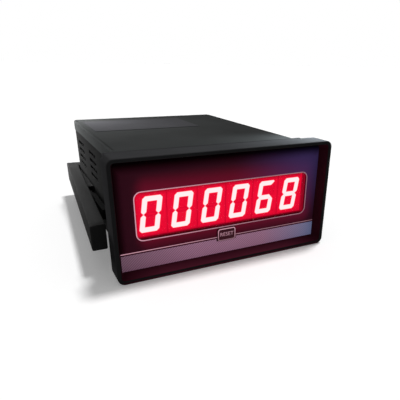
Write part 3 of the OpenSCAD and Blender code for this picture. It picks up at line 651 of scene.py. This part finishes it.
def key_plastic():
    """Wine-red ABS key cap, moulded and polished by fingers."""
    colour = settings()[1].key
    return moulded("abs_moulded_wine_red", colour, rough=0.34, grain=0.4, depth=0.006, shine=0.1)


def label_film():
    """Matt polyester label, laminated: smoother and lighter than the grained plastic under it."""
    colour = settings()[1].label
    return moulded("polyester_label_laminated", colour, rough=0.5, grain=0.6, depth=0.004, shine=0)


def zinc_steel():
    """Zinc-plated steel screws and washers: bright, a little cloudy, with lines from the turning."""
    return metal("steel_zinc_plated", linear("#c6c7c3"), rough=0.32, spacing=0.25, turn="Z")


def brass():
    """Stamped brass terminal plates: rolled lines and a warm shine dulled by the air."""
    return metal("brass_stamped", linear("#c8a04a"), rough=0.36, spacing=0.2, turn="X")


# Meshes


def node_copy(*names, whole=True):
    """CAD nodes' meshes in one merged copy, with flat triangles joined into whole faces."""
    bm = bmesh.new()
    for name in names:
        bm.from_mesh(NODES[name].data)
    bmesh.ops.remove_doubles(bm, verts=bm.verts, dist=MERGE)
    if whole:
        bmesh.ops.dissolve_limit(bm, angle_limit=FLAT, verts=bm.verts, edges=bm.edges)
    return bm


def round_edges(bm, radius, pick, segments=3):
    """Rounds the moulded edges that pick chooses by their middle point, in millimetres."""
    edges = []
    for edge in bm.edges:
        middle = (edge.verts[0].co + edge.verts[1].co) / 2 / MM
        if edge.is_manifold and edge.calc_face_angle(0) > SHARP and pick(*middle, edge):
            edges.append(edge)
    bmesh.ops.bevel(
        bm, geom=edges, offset=radius, offset_type="OFFSET", affect="EDGES", segments=segments, profile=0.5,
        material=-1, clamp_overlap=True,
    )


def cut_faces(bm, axis, place, pick):
    """Cuts the faces that pick chooses along a plane across an axis."""
    at, turn = Vector((0, 0, 0)), Vector((0, 0, 0))
    at[axis] = place
    turn[axis] = 1
    geom = {part for face in bm.faces if pick(face) for part in (face, *face.edges, *face.verts)}
    bmesh.ops.bisect_plane(bm, geom=list(geom), dist=MERGE, plane_co=at, plane_no=turn)


def settle_order(bm):
    """Lists points, edges and faces by their place, because extrusions and cuts list theirs in any order."""
    middles = (
        (bm.verts, lambda vert: vert.co),
        (bm.edges, lambda edge: (edge.verts[0].co + edge.verts[1].co) / 2),
        (bm.faces, lambda face: face.calc_center_median()),
    )
    for parts, middle in middles:
        placed = sorted(parts, key=lambda part: [round(value / MERGE) for value in middle(part)])
        for rank, part in enumerate(placed):
            part.index = rank
        parts.sort()


def piece(name, bm, material, body=ROOT, nodes=()):
    """Turns a bmesh into a finished piece that rides on a body and stands for CAD nodes."""
    settle_order(bm)
    mesh = bpy.data.meshes.new(name)
    bm.to_mesh(mesh)
    bm.free()
    mesh.materials.append(material)
    mesh.shade_smooth()
    mesh.set_sharp_from_angle(angle=CREASE)
    obj = bpy.data.objects.new(name, mesh)
    bpy.context.scene.collection.objects.link(obj)
    even = obj.modifiers.new("Weighted normals", "WEIGHTED_NORMAL")
    even.keep_sharp = True
    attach(obj, body)
    if nodes:
        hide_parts(*nodes)
    return obj


def finish_nodes(material, *names):
    """Gives CAD nodes that stay as they are a finish."""
    for name in names:
        for slot in NODES[name].material_slots:
            slot.material = material


def joined(shapes):
    """Several bmeshes as one."""
    whole = bmesh.new()
    for bm in shapes:
        mesh = bpy.data.meshes.new("shape")
        bm.to_mesh(mesh)
        bm.free()
        whole.from_mesh(mesh)
        bpy.data.meshes.remove(mesh)
    return whole


def push(bm, faces, way):
    """Extrudes faces and moves the new ones."""
    moved = bmesh.ops.extrude_face_region(bm, geom=faces)["geom"]
    bmesh.ops.translate(bm, verts=[v for v in moved if isinstance(v, bmesh.types.BMVert)], vec=way)


def printed(x0, x1, z0, z1, radius, y, line=0):
    """A printed patch with round corners on the front, or its outline only, one layer of ink thick."""
    ink = settings()[0].ink
    bm = bmesh.new()
    place = (
        Matrix.Translation(((x0 + x1) / 2, y, (z0 + z1) / 2)) @ UPRIGHT
        @ Matrix.Diagonal((x1 - x0, z1 - z0, 1, 1))
    )
    bmesh.ops.create_grid(bm, x_segments=1, y_segments=1, size=0.5, matrix=place)
    if radius:
        bmesh.ops.bevel(
            bm, geom=bm.verts[:], offset=radius, offset_type="OFFSET", affect="VERTICES", segments=8,
            profile=0.5, material=-1,
        )
    if line:
        middle = bm.faces[:]
        bmesh.ops.inset_region(bm, faces=middle, thickness=line, use_boundary=True, use_even_offset=True)
        bmesh.ops.delete(bm, geom=middle, context="FACES")
    push(bm, bm.faces[:], (0, -ink, 0))
    bmesh.ops.recalc_face_normals(bm, faces=bm.faces)
    return bm


def cap_box():
    """The box of the front face of the reset key's cap."""
    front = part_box("reset_key")[0].y
    face = [v.co for v in NODES["reset_key"].data.vertices if v.co.y < front + MERGE]
    low = Vector(min(c[axis] for c in face) for axis in range(3))
    return low, Vector(max(c[axis] for c in face) for axis in range(3))


def lettered(words, height, place):
    """Lettering as a mesh, one layer of ink thick, turned and moved to its place."""
    curve = bpy.data.curves.new("lettering", "FONT")
    curve.body = words
    curve.size = height
    curve.align_x = "CENTER"
    curve.align_y = "CENTER"
    curve.extrude = settings()[0].ink / 2
    curve.resolution_u = 3
    obj = bpy.data.objects.new("lettering", curve)
    bpy.context.scene.collection.objects.link(obj)
    mesh = bpy.data.meshes.new_from_object(obj.evaluated_get(bpy.context.evaluated_depsgraph_get()))
    mesh.transform(place)
    bm = bmesh.new()
    bm.from_mesh(mesh)
    bpy.data.objects.remove(obj)
    bpy.data.curves.remove(curve)
    bpy.data.meshes.remove(mesh)
    return bm


def bar_shapes():
    """The corners of the seven bars of an upright figure, from the figure's centre.

    The bars meet at the figure's corners, where the light fills the thin webs of the shell.
    """
    sizes = settings()[0]
    half_w, half_h, bar = sizes.figure_w / 2, sizes.figure_h / 2, sizes.bar_w
    tip, cut = sizes.bar_gap / 2, sizes.figure_cut
    mitre = [(half_w - cut / 2, half_h - cut / 2), (half_w - bar, half_h - bar)]
    end = [(half_w - cut, half_h), *mitre]
    top = end + [(-x, z) for x, z in reversed(end)]
    side = [
        (half_w, half_h - cut),
        *mitre,
        (half_w - bar, tip + bar / 2),
        (half_w - bar / 2, tip),
        (half_w, tip + bar / 2),
    ]
    inner = half_w - bar - tip
    point = [(inner, bar / 2), (inner + bar / 2, 0), (inner, -bar / 2)]
    middle = point + [(-x, z) for x, z in reversed(point)]

    def turned(shape, across, up):
        return [(across * x, up * z) for x, z in shape]

    return {
        "a": top, "b": side, "c": turned(side, 1, -1), "d": turned(top, 1, -1), "e": turned(side, -1, -1),
        "f": turned(side, -1, 1), "g": middle,
    }


def bar_distance(x, z, shapes):
    """How far a point of an upright figure lies from the nearest of some bars; below zero inside a bar."""
    nearest = 1.0
    for shape in shapes:
        # A bar's corners bulge outwards, so its middle lies on the inner side of each of its edges
        mid_x = sum(c[0] for c in shape) / len(shape)
        mid_z = sum(c[1] for c in shape) / len(shape)
        farthest = -1.0
        for (x0, z0), (x1, z1) in zip(shape, shape[1:] + shape[:1]):
            run, rise = x1 - x0, z1 - z0
            side = 1 if (mid_x - x0) * rise - (mid_z - z0) * run < 0 else -1
            farthest = max(farthest, side * ((x - x0) * rise - (z - z0) * run) / math.hypot(run, rise))
        nearest = min(nearest, farthest)
    return nearest


def light_up(obj, centre, shapes, front_y, resin=False):
    """Stores at each point of a digit's front how far it lies from the nearest lit bar."""
    lean = math.tan(settings()[0].slant)
    attribute = obj.data.attributes.new("from_bar", "FLOAT", "POINT")
    # Behind the glowing depth a module is dark, and resin off the lit bars gets the field's painted red glow
    glowing = 4 * MM
    unlit = 20 * MM
    field = 0.8 * MM
    for vertex, value in zip(obj.data.vertices, attribute.data):
        z = vertex.co.z - centre.z
        x = vertex.co.x - centre.x - z * lean
        away = bar_distance(x, z, shapes)
        if vertex.co.y > front_y + glowing:
            away = unlit
        elif resin and away > 0:
            away = field
        value.value = max(0, away)


# Stage


def spare_floor(*emitters):
    """Keeps the light of lamps or glowing pieces off the studio floor."""
    spared = bpy.data.collections.get("spared")
    for emitter in emitters:
        emitter.light_linking.receiver_collection = spared


def aim(scene, lamp, place, target):
    """Puts a lamp in the scene, pointing at a target."""
    obj = bpy.data.objects.new(lamp.name, lamp)
    obj.location = place
    obj.rotation_euler = (target - place).to_track_quat("-Z", "Y").to_euler()
    scene.collection.objects.link(obj)
    return obj


def seen(tree):
    """One where the picture shows a surface, straight on or in a mirror or a glass, and nought elsewhere."""
    path = add(tree, "LightPath").outputs
    rays = path["Is Camera Ray"]
    for kind in ("Is Glossy Ray", "Is Transmission Ray"):
        rays = add(tree, "Math", {0: rays, 1: path[kind]}, operation="MAXIMUM").outputs["Value"]
    return rays


def white_paper():
    """Seamless white paper: matt, with a lift in the picture that leaves the shadow on it."""
    colour = settings()[1].floor
    lift = 0.18
    # Off the picture it throws back little light, so that the dark plastics stay dark
    off_picture = shade(colour, 0.5)

    def build(tree):
        path = seen(tree)
        tone = add(tree, "Mix", {"Factor": path, "A": off_picture, "B": colour}, data_type="RGBA")
        matt = add(tree, "BsdfDiffuse", {"Color": tone.outputs["Result"]})
        level = add(tree, "Math", {0: path, 1: lift}, operation="MULTIPLY")
        shine = add(tree, "Emission", {"Color": WHITE, "Strength": level.outputs["Value"]})
        both = add(tree, "AddShader", {0: matt.outputs["BSDF"], 1: shine.outputs["Emission"]})
        return both.outputs["Shader"]

    return surface("paper_seamless_white", build)


def studio_floor(scene):
    """A wide sheet of paper just under the counter."""
    # The gap keeps the paper off the counter, and half the sheet's width is in metres
    gap, half = 0.02 * MM, 6
    bm = bmesh.new()
    level = Matrix.Translation((0, 0, CAD_BOX[0].z - gap))
    bmesh.ops.create_grid(bm, x_segments=1, y_segments=1, size=half, matrix=level)
    mesh = bpy.data.meshes.new("studio_floor")
    bm.to_mesh(mesh)
    bm.free()
    mesh.materials.append(white_paper())
    floor = bpy.data.objects.new("studio_floor", mesh)
    scene.collection.objects.link(floor)
    return floor


def studio_world(scene):
    """White surroundings that light the counter softly."""
    soft = 0.3
    world = bpy.data.worlds.new("studio")
    world.use_nodes = True
    tree = world.node_tree
    tree.nodes.clear()
    strength = add(tree, "MapRange", {"Value": seen(tree), "To Min": soft, "To Max": 1.0})
    sky = add(tree, "Background", {"Color": WHITE, "Strength": strength.outputs["Result"]})
    add(tree, "OutputWorld", {"Surface": sky.outputs["Background"]})
    scene.world = world


def studio_lights(scene, floor):
    """A sun from the rear right, and softboxes that light the counter alone and leave its shadow."""
    sun = bpy.data.lights.new("key_light", "SUN")
    sun.energy = 2.2
    sun.angle = math.radians(9)
    rear_right = Vector((0.27, 0.1, 1))
    aim(scene, sun, rear_right, Vector((0, 0, 0)))
    spared = bpy.data.collections.new("spared")
    spared.objects.link(floor)
    spared.collection_objects[0].light_linking.link_state = "EXCLUDE"
    cool = linear("#effaff")
    # Places, targets and sizes are in millimetres, powers in watts and spreads in degrees
    for name, place, target, size, power, spread, colour in (
        ("left_softbox", (-100, 160, 15), (0, 40, 0), 50, 0.5, 180, WHITE),
        ("rear_softbox", (-50, 108, 54), (-20, 40, 20), 30, 0.1, 180, WHITE),
        ("right_softbox", (62, 8, 45), (45, -5, 24), 20, 0.065, 110, cool),
    ):
        lamp = bpy.data.lights.new(name, "AREA")
        lamp.size = size * MM
        lamp.energy = power
        lamp.spread = math.radians(spread)
        lamp.color = colour
        softbox = aim(scene, lamp, Vector(place) * MM, Vector(target) * MM)
        spare_floor(softbox)
        softbox.visible_camera = False


def studio_camera(scene):
    """The camera, fitted to the bezel's corners, the cover's edges and the clamp in the photograph."""
    # The picture's width, the focal length and the optical centre, in pixels
    picture, focal = 400, 415.2
    centre_x, centre_y = 237.3, 240.6
    place = Vector((-74.36, -150.21, 55.31)) * MM
    right = Vector((0.8822, -0.4702, 0.0244))
    back = Vector((-0.4396, -0.8041, 0.4001))
    roll = math.radians(-0.25)
    up = back.cross(right).normalized()
    right = up.cross(back).normalized()
    back.normalize()
    camera = bpy.data.cameras.new("camera")
    camera.sensor_fit = "HORIZONTAL"
    camera.sensor_width = 36
    camera.lens = focal / picture * camera.sensor_width
    camera.shift_x = (picture / 2 - centre_x) / picture
    camera.shift_y = (centre_y - picture / 2) / picture
    camera.clip_start = 10 * MM
    obj = bpy.data.objects.new("camera", camera)
    turn = Matrix((right, up, back)).transposed().to_4x4()
    obj.matrix_world = Matrix.Translation(place) @ turn @ Matrix.Rotation(roll, 4, "Z")
    scene.collection.objects.link(obj)
    scene.camera = obj


# Operators


class COUNTER_OT_bezel(bpy.types.Operator):
    """Rounds the bezel's edges and gives it satin black ABS"""

    bl_idname = "counter.bezel"
    bl_label = "Front Bezel"

    def execute(self, context):
        sizes = settings()[0]
        low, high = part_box("front_bezel")
        front = low.y / MM
        # The flange's back edge lies outside these places, and the collar's inside them
        side, tall = high.x / MM - 3, high.z / MM - 1.2

        def outer(x, y, z, edge):
            return y < front + NEAR and any(abs(face.normal.y) < SQUARE for face in edge.link_faces)

        def inner(x, y, z, edge):
            return y < front + NEAR

        def back(x, y, z, edge):
            return abs(y) < NEAR and (abs(x) > side or abs(z) > tall)

        bm = node_copy("front_bezel")
        round_edges(bm, sizes.bezel_edge, outer, 4)
        round_edges(bm, sizes.rim_edge, inner)
        round_edges(bm, sizes.rim_edge, back)
        piece("bezel_moulding", bm, bezel_abs(), nodes=["front_bezel"])
        return {"FINISHED"}


class COUNTER_OT_overlay(bpy.types.Operator):
    """Prints the overlay film: outlines, the line and the hatched silver band"""

    bl_idname = "counter.overlay"
    bl_label = "Front Overlay"

    def execute(self, context):
        sizes = settings()[0]
        low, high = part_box("front_overlay")
        finish_nodes(overlay_film(), "front_overlay")
        finish_nodes(filter_acrylic(), "filter_plate")
        half_w = sizes.window_w / 2 + sizes.outline
        half_h = sizes.window_h / 2 + sizes.outline
        x, z = sizes.window_x, sizes.window_z
        corner = sizes.window_r + sizes.outline
        window = printed(x - half_w, x + half_w, z - half_h, z + half_h, corner, low.y, sizes.outline)
        key_low, key_high = cap_box()
        line_z = sizes.band_top + sizes.band_gap
        rules = [
            printed(low.x, key_low.x, line_z, line_z + sizes.band_line, 0, low.y),
            printed(key_high.x, high.x, line_z, line_z + sizes.band_line, 0, low.y),
        ]
        # The lines' painted glow is least at the right
        ink = line_ink("screen_ink_pale_pink", "X", start=low.x, end=15 * MM, strong=0.85, weak=0.1)
        outline = piece("window_outline", window, ink)
        lines = piece("band_rules", joined(rules), ink)
        key_gap = 0.3 * MM
        band = [
            printed(low.x, key_low.x - key_gap, sizes.band_low, sizes.band_top, 0, low.y),
            printed(key_high.x + key_gap, high.x, sizes.band_low, sizes.band_top, 0, low.y),
            printed(key_low.x - key_gap, key_high.x + key_gap, sizes.band_low, key_low.z, 0, low.y),
        ]
        silver = piece("silver_band", joined(band), band_ink())
        spare_floor(NODES["front_overlay"], NODES["filter_plate"], outline, lines, silver)
        return {"FINISHED"}


class COUNTER_OT_key(bpy.types.Operator):
    """Rounds the reset key's cap and prints its outline and its word"""

    bl_idname = "counter.key"
    bl_label = "Reset Key"

    def execute(self, context):
        sizes = settings()[0]
        low, high = cap_box()
        front = low.y / MM
        bm = node_copy("reset_key")
        round_edges(bm, sizes.key_edge, lambda x, y, z, e: y < front + NEAR)
        piece("reset_key_cap", bm, key_plastic(), "key", ["reset_key"])
        inset = sizes.key_edge
        outline = printed(
            low.x + inset, high.x - inset, low.z + inset, high.z - inset, sizes.key_r - inset, low.y,
            sizes.key_line,
        )
        middle = (low + high) / 2
        place = Matrix.Translation((middle.x, low.y - sizes.ink / 2, middle.z)) @ UPRIGHT
        word_h = 2.4 * MM
        word = lettered("RESET", word_h, place)
        # The key's print has a painted highlight, strong at the top and weak at the bottom,
        # and painted shade halves its ink
        ink = line_ink(
            "screen_ink_pale_key", "Z", start=high.z, end=low.z, strong=1.0, weak=0.15, base=0.5
        )
        piece("key_print", joined([outline, word]), ink, "key")
        # Natural nylon, moulded: ivory, waxy and a little shiny
        nylon = moulded("nylon_moulded_ivory", linear("#d8d0c0"), rough=0.45, grain=0.5, depth=0.005)
        finish_nodes(nylon, "switch_plunger")
        # Moulded phenolic: a hard black body with a dull skin
        phenolic = moulded("phenolic_moulded_black", linear("#202024"), rough=0.5, grain=0.5, depth=0.01)
        finish_nodes(phenolic, "key_switch")
        return {"FINISHED"}


class COUNTER_OT_digits(bpy.types.Operator):
    """Lights the six digits: glowing resin bars, and shells with a painted glow of their light"""

    bl_idname = "counter.digits"
    bl_label = "Digits"

    def execute(self, context):
        sizes, colours = settings()
        if len(sizes.reading) != DIGITS or not set(sizes.reading) <= set(LIT):
            raise RuntimeError("The reading has to be six figures")
        step = 0.45 * MM
        bars = bar_shapes()
        shell_plastic = lit_plastic("polycarbonate_shell_red_lit", colours.shell, rough=0.4)
        resin = lit_plastic("epoxy_resin_cast_lit", colours.shell, rough=0.3)
        for i, figure in enumerate(sizes.reading, 1):
            shapes = [bars[bar] for bar in LIT[figure]]
            name = f"digit_shell_{i}"
            low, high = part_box(name)
            centre = (low + high) / 2
            bm = node_copy(name, whole=False)
            # The front is cut into a fine grid, so that the glow follows the bars
            for axis in (0, 2):
                cuts = int((high[axis] - low[axis]) / step)
                for k in range(1, cuts):
                    place = low[axis] + (high[axis] - low[axis]) * k / cuts
                    cut_faces(bm, axis, place, lambda f: f.calc_center_median().y < low.y + MERGE)
            shell = piece(f"digit_face_{i}", bm, shell_plastic, nodes=[name])
            light_up(shell, centre, shapes, low.y)
            name = f"digit_fill_{i}"
            fill = piece(f"digit_bars_{i}", node_copy(name, whole=False), resin, nodes=[name])
            light_up(fill, centre, shapes, low.y, resin=True)
            spare_floor(shell, fill)
        return {"FINISHED"}


class COUNTER_OT_case(bpy.types.Operator):
    """Rounds the cut edges of the black tray and the charcoal cover, and sinks the cover's seams"""

    bl_idname = "counter.case"
    bl_label = "Case"

    def execute(self, context):
        sizes = settings()[0]
        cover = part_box("top_cover")[1]
        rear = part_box("rear_cover")[1] / MM
        vent_edge = 0.2 * MM
        # The vents lie between these heights, and the cover's lips within this of its outside, in millimetres
        vent_low, vent_high = -2, 14
        lip = 1

        def vent(x, y, z, edge):
            return abs(abs(x) - rear.x) < NEAR and vent_low < z < vent_high and edge.is_convex

        def cover_end(x, y, z, edge):
            at_end = min(abs(y - front_y / MM), abs(y - cover.y / MM)) < NEAR
            outside = z > cover.z / MM - lip or abs(x) > cover.x / MM - lip
            return edge.is_convex and at_end and outside

        def on_top(face):
            return face.calc_center_median().z > cover.z - MERGE

        bm = node_copy("case_tray")
        round_edges(bm, vent_edge, vent, 2)
        piece("case_tray_moulding", bm, tray_abs(), nodes=["case_tray"])
        bm = node_copy("top_cover")
        flat = [v.co for v in bm.verts if v.co.z > cover.z - MERGE]
        front_y = min(c.y for c in flat)
        # A sunk seam runs along each side of the flat top, with a thin land outside it
        land = 0.05 * MM
        outer = max(c.x for c in flat) - land
        inner = outer - sizes.seam_w
        ends = (front_y + sizes.seam_end, cover.y - sizes.seam_end)
        for axis, places in ((0, (-outer, -inner, inner, outer)), (1, ends)):
            for place in places:
                cut_faces(bm, axis, place, on_top)
        strips = []
        for face in filter(on_top, bm.faces):
            x, y, _ = face.calc_center_median()
            if inner < abs(x) < outer and ends[0] < y < ends[1]:
                strips.append(face)
        push(bm, strips, (0, 0, -sizes.seam_d))
        bmesh.ops.delete(bm, geom=strips, context="FACES_ONLY")
        bmesh.ops.recalc_face_normals(bm, faces=bm.faces)
        round_edges(bm, sizes.case_edge, cover_end)
        piece("top_cover_moulding", bm, case_abs(), nodes=["top_cover"])
        bm = node_copy("rear_cover")
        round_edges(bm, sizes.case_edge, lambda x, y, z, e: e.is_convex and y > rear.y - NEAR)
        piece("rear_cover_moulding", bm, tray_abs(), nodes=["rear_cover"])
        finish_nodes(label_film(), "top_label")
        return {"FINISHED"}


class COUNTER_OT_clamps(bpy.types.Operator):
    """Rounds the side clamps' edges and gives them plain black ABS"""

    bl_idname = "counter.clamps"
    bl_label = "Side Clamps"

    def execute(self, context):
        # Further out than this, in millimetres, a clamp is a plain bar
        bar_x = 47.5
        for side in ("left", "right"):
            name = f"clamp_{side}"
            heights = [corner.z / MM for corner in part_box(name)]

            def outside(x, y, z, edge):
                return edge.is_convex and (min(abs(z - end) for end in heights) < NEAR or abs(x) > bar_x)

            bm = node_copy(name)
            round_edges(bm, settings()[0].clamp_edge, outside)
            piece(f"{name}_bar", bm, clamp_abs(), name, [name])
        return {"FINISHED"}


class COUNTER_OT_terminals(bpy.types.Operator):
    """Finishes the rear terminals, with rounded screw heads and printed numbers"""

    bl_idname = "counter.terminals"
    bl_label = "Rear Terminals"

    def execute(self, context):
        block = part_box("terminal_block")[1]
        barrier_edge = 0.2 * MM
        bm = node_copy("terminal_block")
        round_edges(bm, barrier_edge, lambda x, y, z, e: e.is_convex and y > block.y / MM - NEAR, 2)
        # Glass-filled PBT, moulded: black, dull and slightly gritty
        pbt = moulded("pbt_moulded_black", linear("#161718"), rough=0.48, grain=0.5, depth=0.01)
        piece("terminal_moulding", bm, pbt, nodes=["terminal_block"])
        head_edge = 0.45 * MM
        for name in ("terminal_screw", "cover_screw"):
            screws = f"{name}s"
            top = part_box(screws)[1].y / MM

            def rim(x, y, z, edge):
                # A head's round side has faces that are square to neither axis, and its slot hasn't
                round_side = any(min(abs(f.normal.x), abs(f.normal.z)) > SQUARE for f in edge.link_faces)
                return edge.is_convex and y > top - NEAR and round_side

            bm = node_copy(screws)
            round_edges(bm, head_edge, rim, 4)
            piece(f"{name}_heads", bm, zinc_steel(), nodes=[screws])
        finish_nodes(zinc_steel(), "terminal_washers", "board_screws")
        finish_nodes(brass(), "terminal_plates")
        # Numbers read from behind, above the terminals
        pitch, number_h, number_rise = 7.62 * MM, 2.6 * MM, 2.4 * MM
        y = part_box("rear_cover")[1].y + settings()[0].ink / 2
        backwards = Matrix.Rotation(math.pi, 4, "Z")
        numbers = []
        for i in range(WAYS):
            x = ((WAYS - 1) / 2 - i) * pitch
            place = Matrix.Translation((x, y, block.z + number_rise)) @ backwards @ UPRIGHT
            numbers.append(lettered(str(i + 1), number_h, place))
        # Pad-printed ink: a thin, flat pale grey
        ink = moulded("pad_ink_pale_grey", linear("#b9bbbb"), rough=0.6, grain=0.4, depth=0.002)
        piece("terminal_numbers", joined(numbers), ink)
        return {"FINISHED"}


class COUNTER_OT_electronics(bpy.types.Operator):
    """Finishes the boards and the parts on them, which show through the vents"""

    bl_idname = "counter.electronics"
    bl_label = "Electronics"

    def execute(self, context):
        # Epoxy glass board under green lacquer: tracks 1.3 mm apart stand a little proud of it
        board = striped(
            "epoxy_glass_board_lacquered", linear("#123d22"), linear("#1f5f36"), spacing=1.3, turn="X",
            metallic=0, rough=0.35,
        )
        finish_nodes(board, "main_board", "display_board")
        # Silicon steel stampings 0.5 mm thick, stacked along the coil's depth
        stack = striped(
            "silicon_steel_stacked", linear("#4a4e53"), linear("#8a9096"), spacing=0.5, turn="Y",
            metallic=0.9, rough=0.45,
        )
        finish_nodes(stack, "transformer_core")
        # Enamelled copper wire 0.4 mm thick, wound in level layers
        coil = striped(
            "copper_wire_wound", linear("#5a2e10"), linear("#b5742a"), spacing=0.4, turn="Z",
            metallic=0.85, rough=0.35,
        )
        finish_nodes(coil, "transformer_coil")
        # Moulded nylon bobbin: cream and waxy
        nylon = moulded("nylon_moulded_cream", linear("#d8d0b4"), rough=0.45, grain=0.6, depth=0.005)
        finish_nodes(nylon, "transformer_former")
        # PVC sleeve shrunk on with heat: smooth, with a slow waviness
        sleeve = moulded("pvc_sleeve_shrunk_navy", linear("#1c2850"), rough=0.28, grain=2, depth=0.01)
        finish_nodes(sleeve, "large_capacitor", "small_capacitor")
        # Filled epoxy from a transfer mould: matt black with a fine grit
        epoxy = moulded("epoxy_moulded_black", linear("#161618"), rough=0.6, grain=0.3, depth=0.01)
        finish_nodes(epoxy, "microcontroller", "input_coupler", "voltage_regulator", "link_header")
        return {"FINISHED"}


class COUNTER_OT_stage(bpy.types.Operator):
    """Sets the floor, the soft lights, the white surroundings and the camera"""

    bl_idname = "counter.stage"
    bl_label = "Studio Stage"

    def execute(self, context):
        scene = context.scene
        scene.view_settings.view_transform = "Standard"
        floor = studio_floor(scene)
        studio_world(scene)
        studio_lights(scene, floor)
        studio_camera(scene)
        return {"FINISHED"}


OPERATORS = (
    COUNTER_OT_stage, COUNTER_OT_bezel, COUNTER_OT_overlay, COUNTER_OT_key, COUNTER_OT_digits,
    COUNTER_OT_case, COUNTER_OT_clamps, COUNTER_OT_terminals, COUNTER_OT_electronics,
)


class COUNTER_PT_panel(bpy.types.Panel):
    """Lists the counter's pieces, sizes and colours"""

    bl_idname = "COUNTER_PT_panel"
    bl_label = "Panel Counter"
    bl_space_type = "VIEW_3D"
    bl_region_type = "UI"
    bl_category = "Counter"

    def draw(self, context):
        for operator in OPERATORS:
            self.layout.operator(operator.bl_idname)
        for group in settings():
            box = self.layout.box()
            for name in group.__annotations__:
                box.prop(group, name)


CLASSES = (CounterColours, CounterSizes, *OPERATORS, COUNTER_PT_panel)


def register():
    for cls in CLASSES:
        bpy.utils.register_class(cls)
    bpy.types.Scene.counter_sizes = PointerProperty(type=CounterSizes)
    bpy.types.Scene.counter_colours = PointerProperty(type=CounterColours)


def unregister():
    del bpy.types.Scene.counter_colours
    del bpy.types.Scene.counter_sizes
    for cls in reversed(CLASSES):
        bpy.utils.unregister_class(cls)


def main():
    register()
    bpy.ops.counter.stage()
    bpy.ops.counter.bezel()
    bpy.ops.counter.overlay()
    bpy.ops.counter.key()
    bpy.ops.counter.digits()
    bpy.ops.counter.case()
    bpy.ops.counter.clamps()
    bpy.ops.counter.terminals()
    bpy.ops.counter.electronics()


if __name__ == "__main__":
    main()
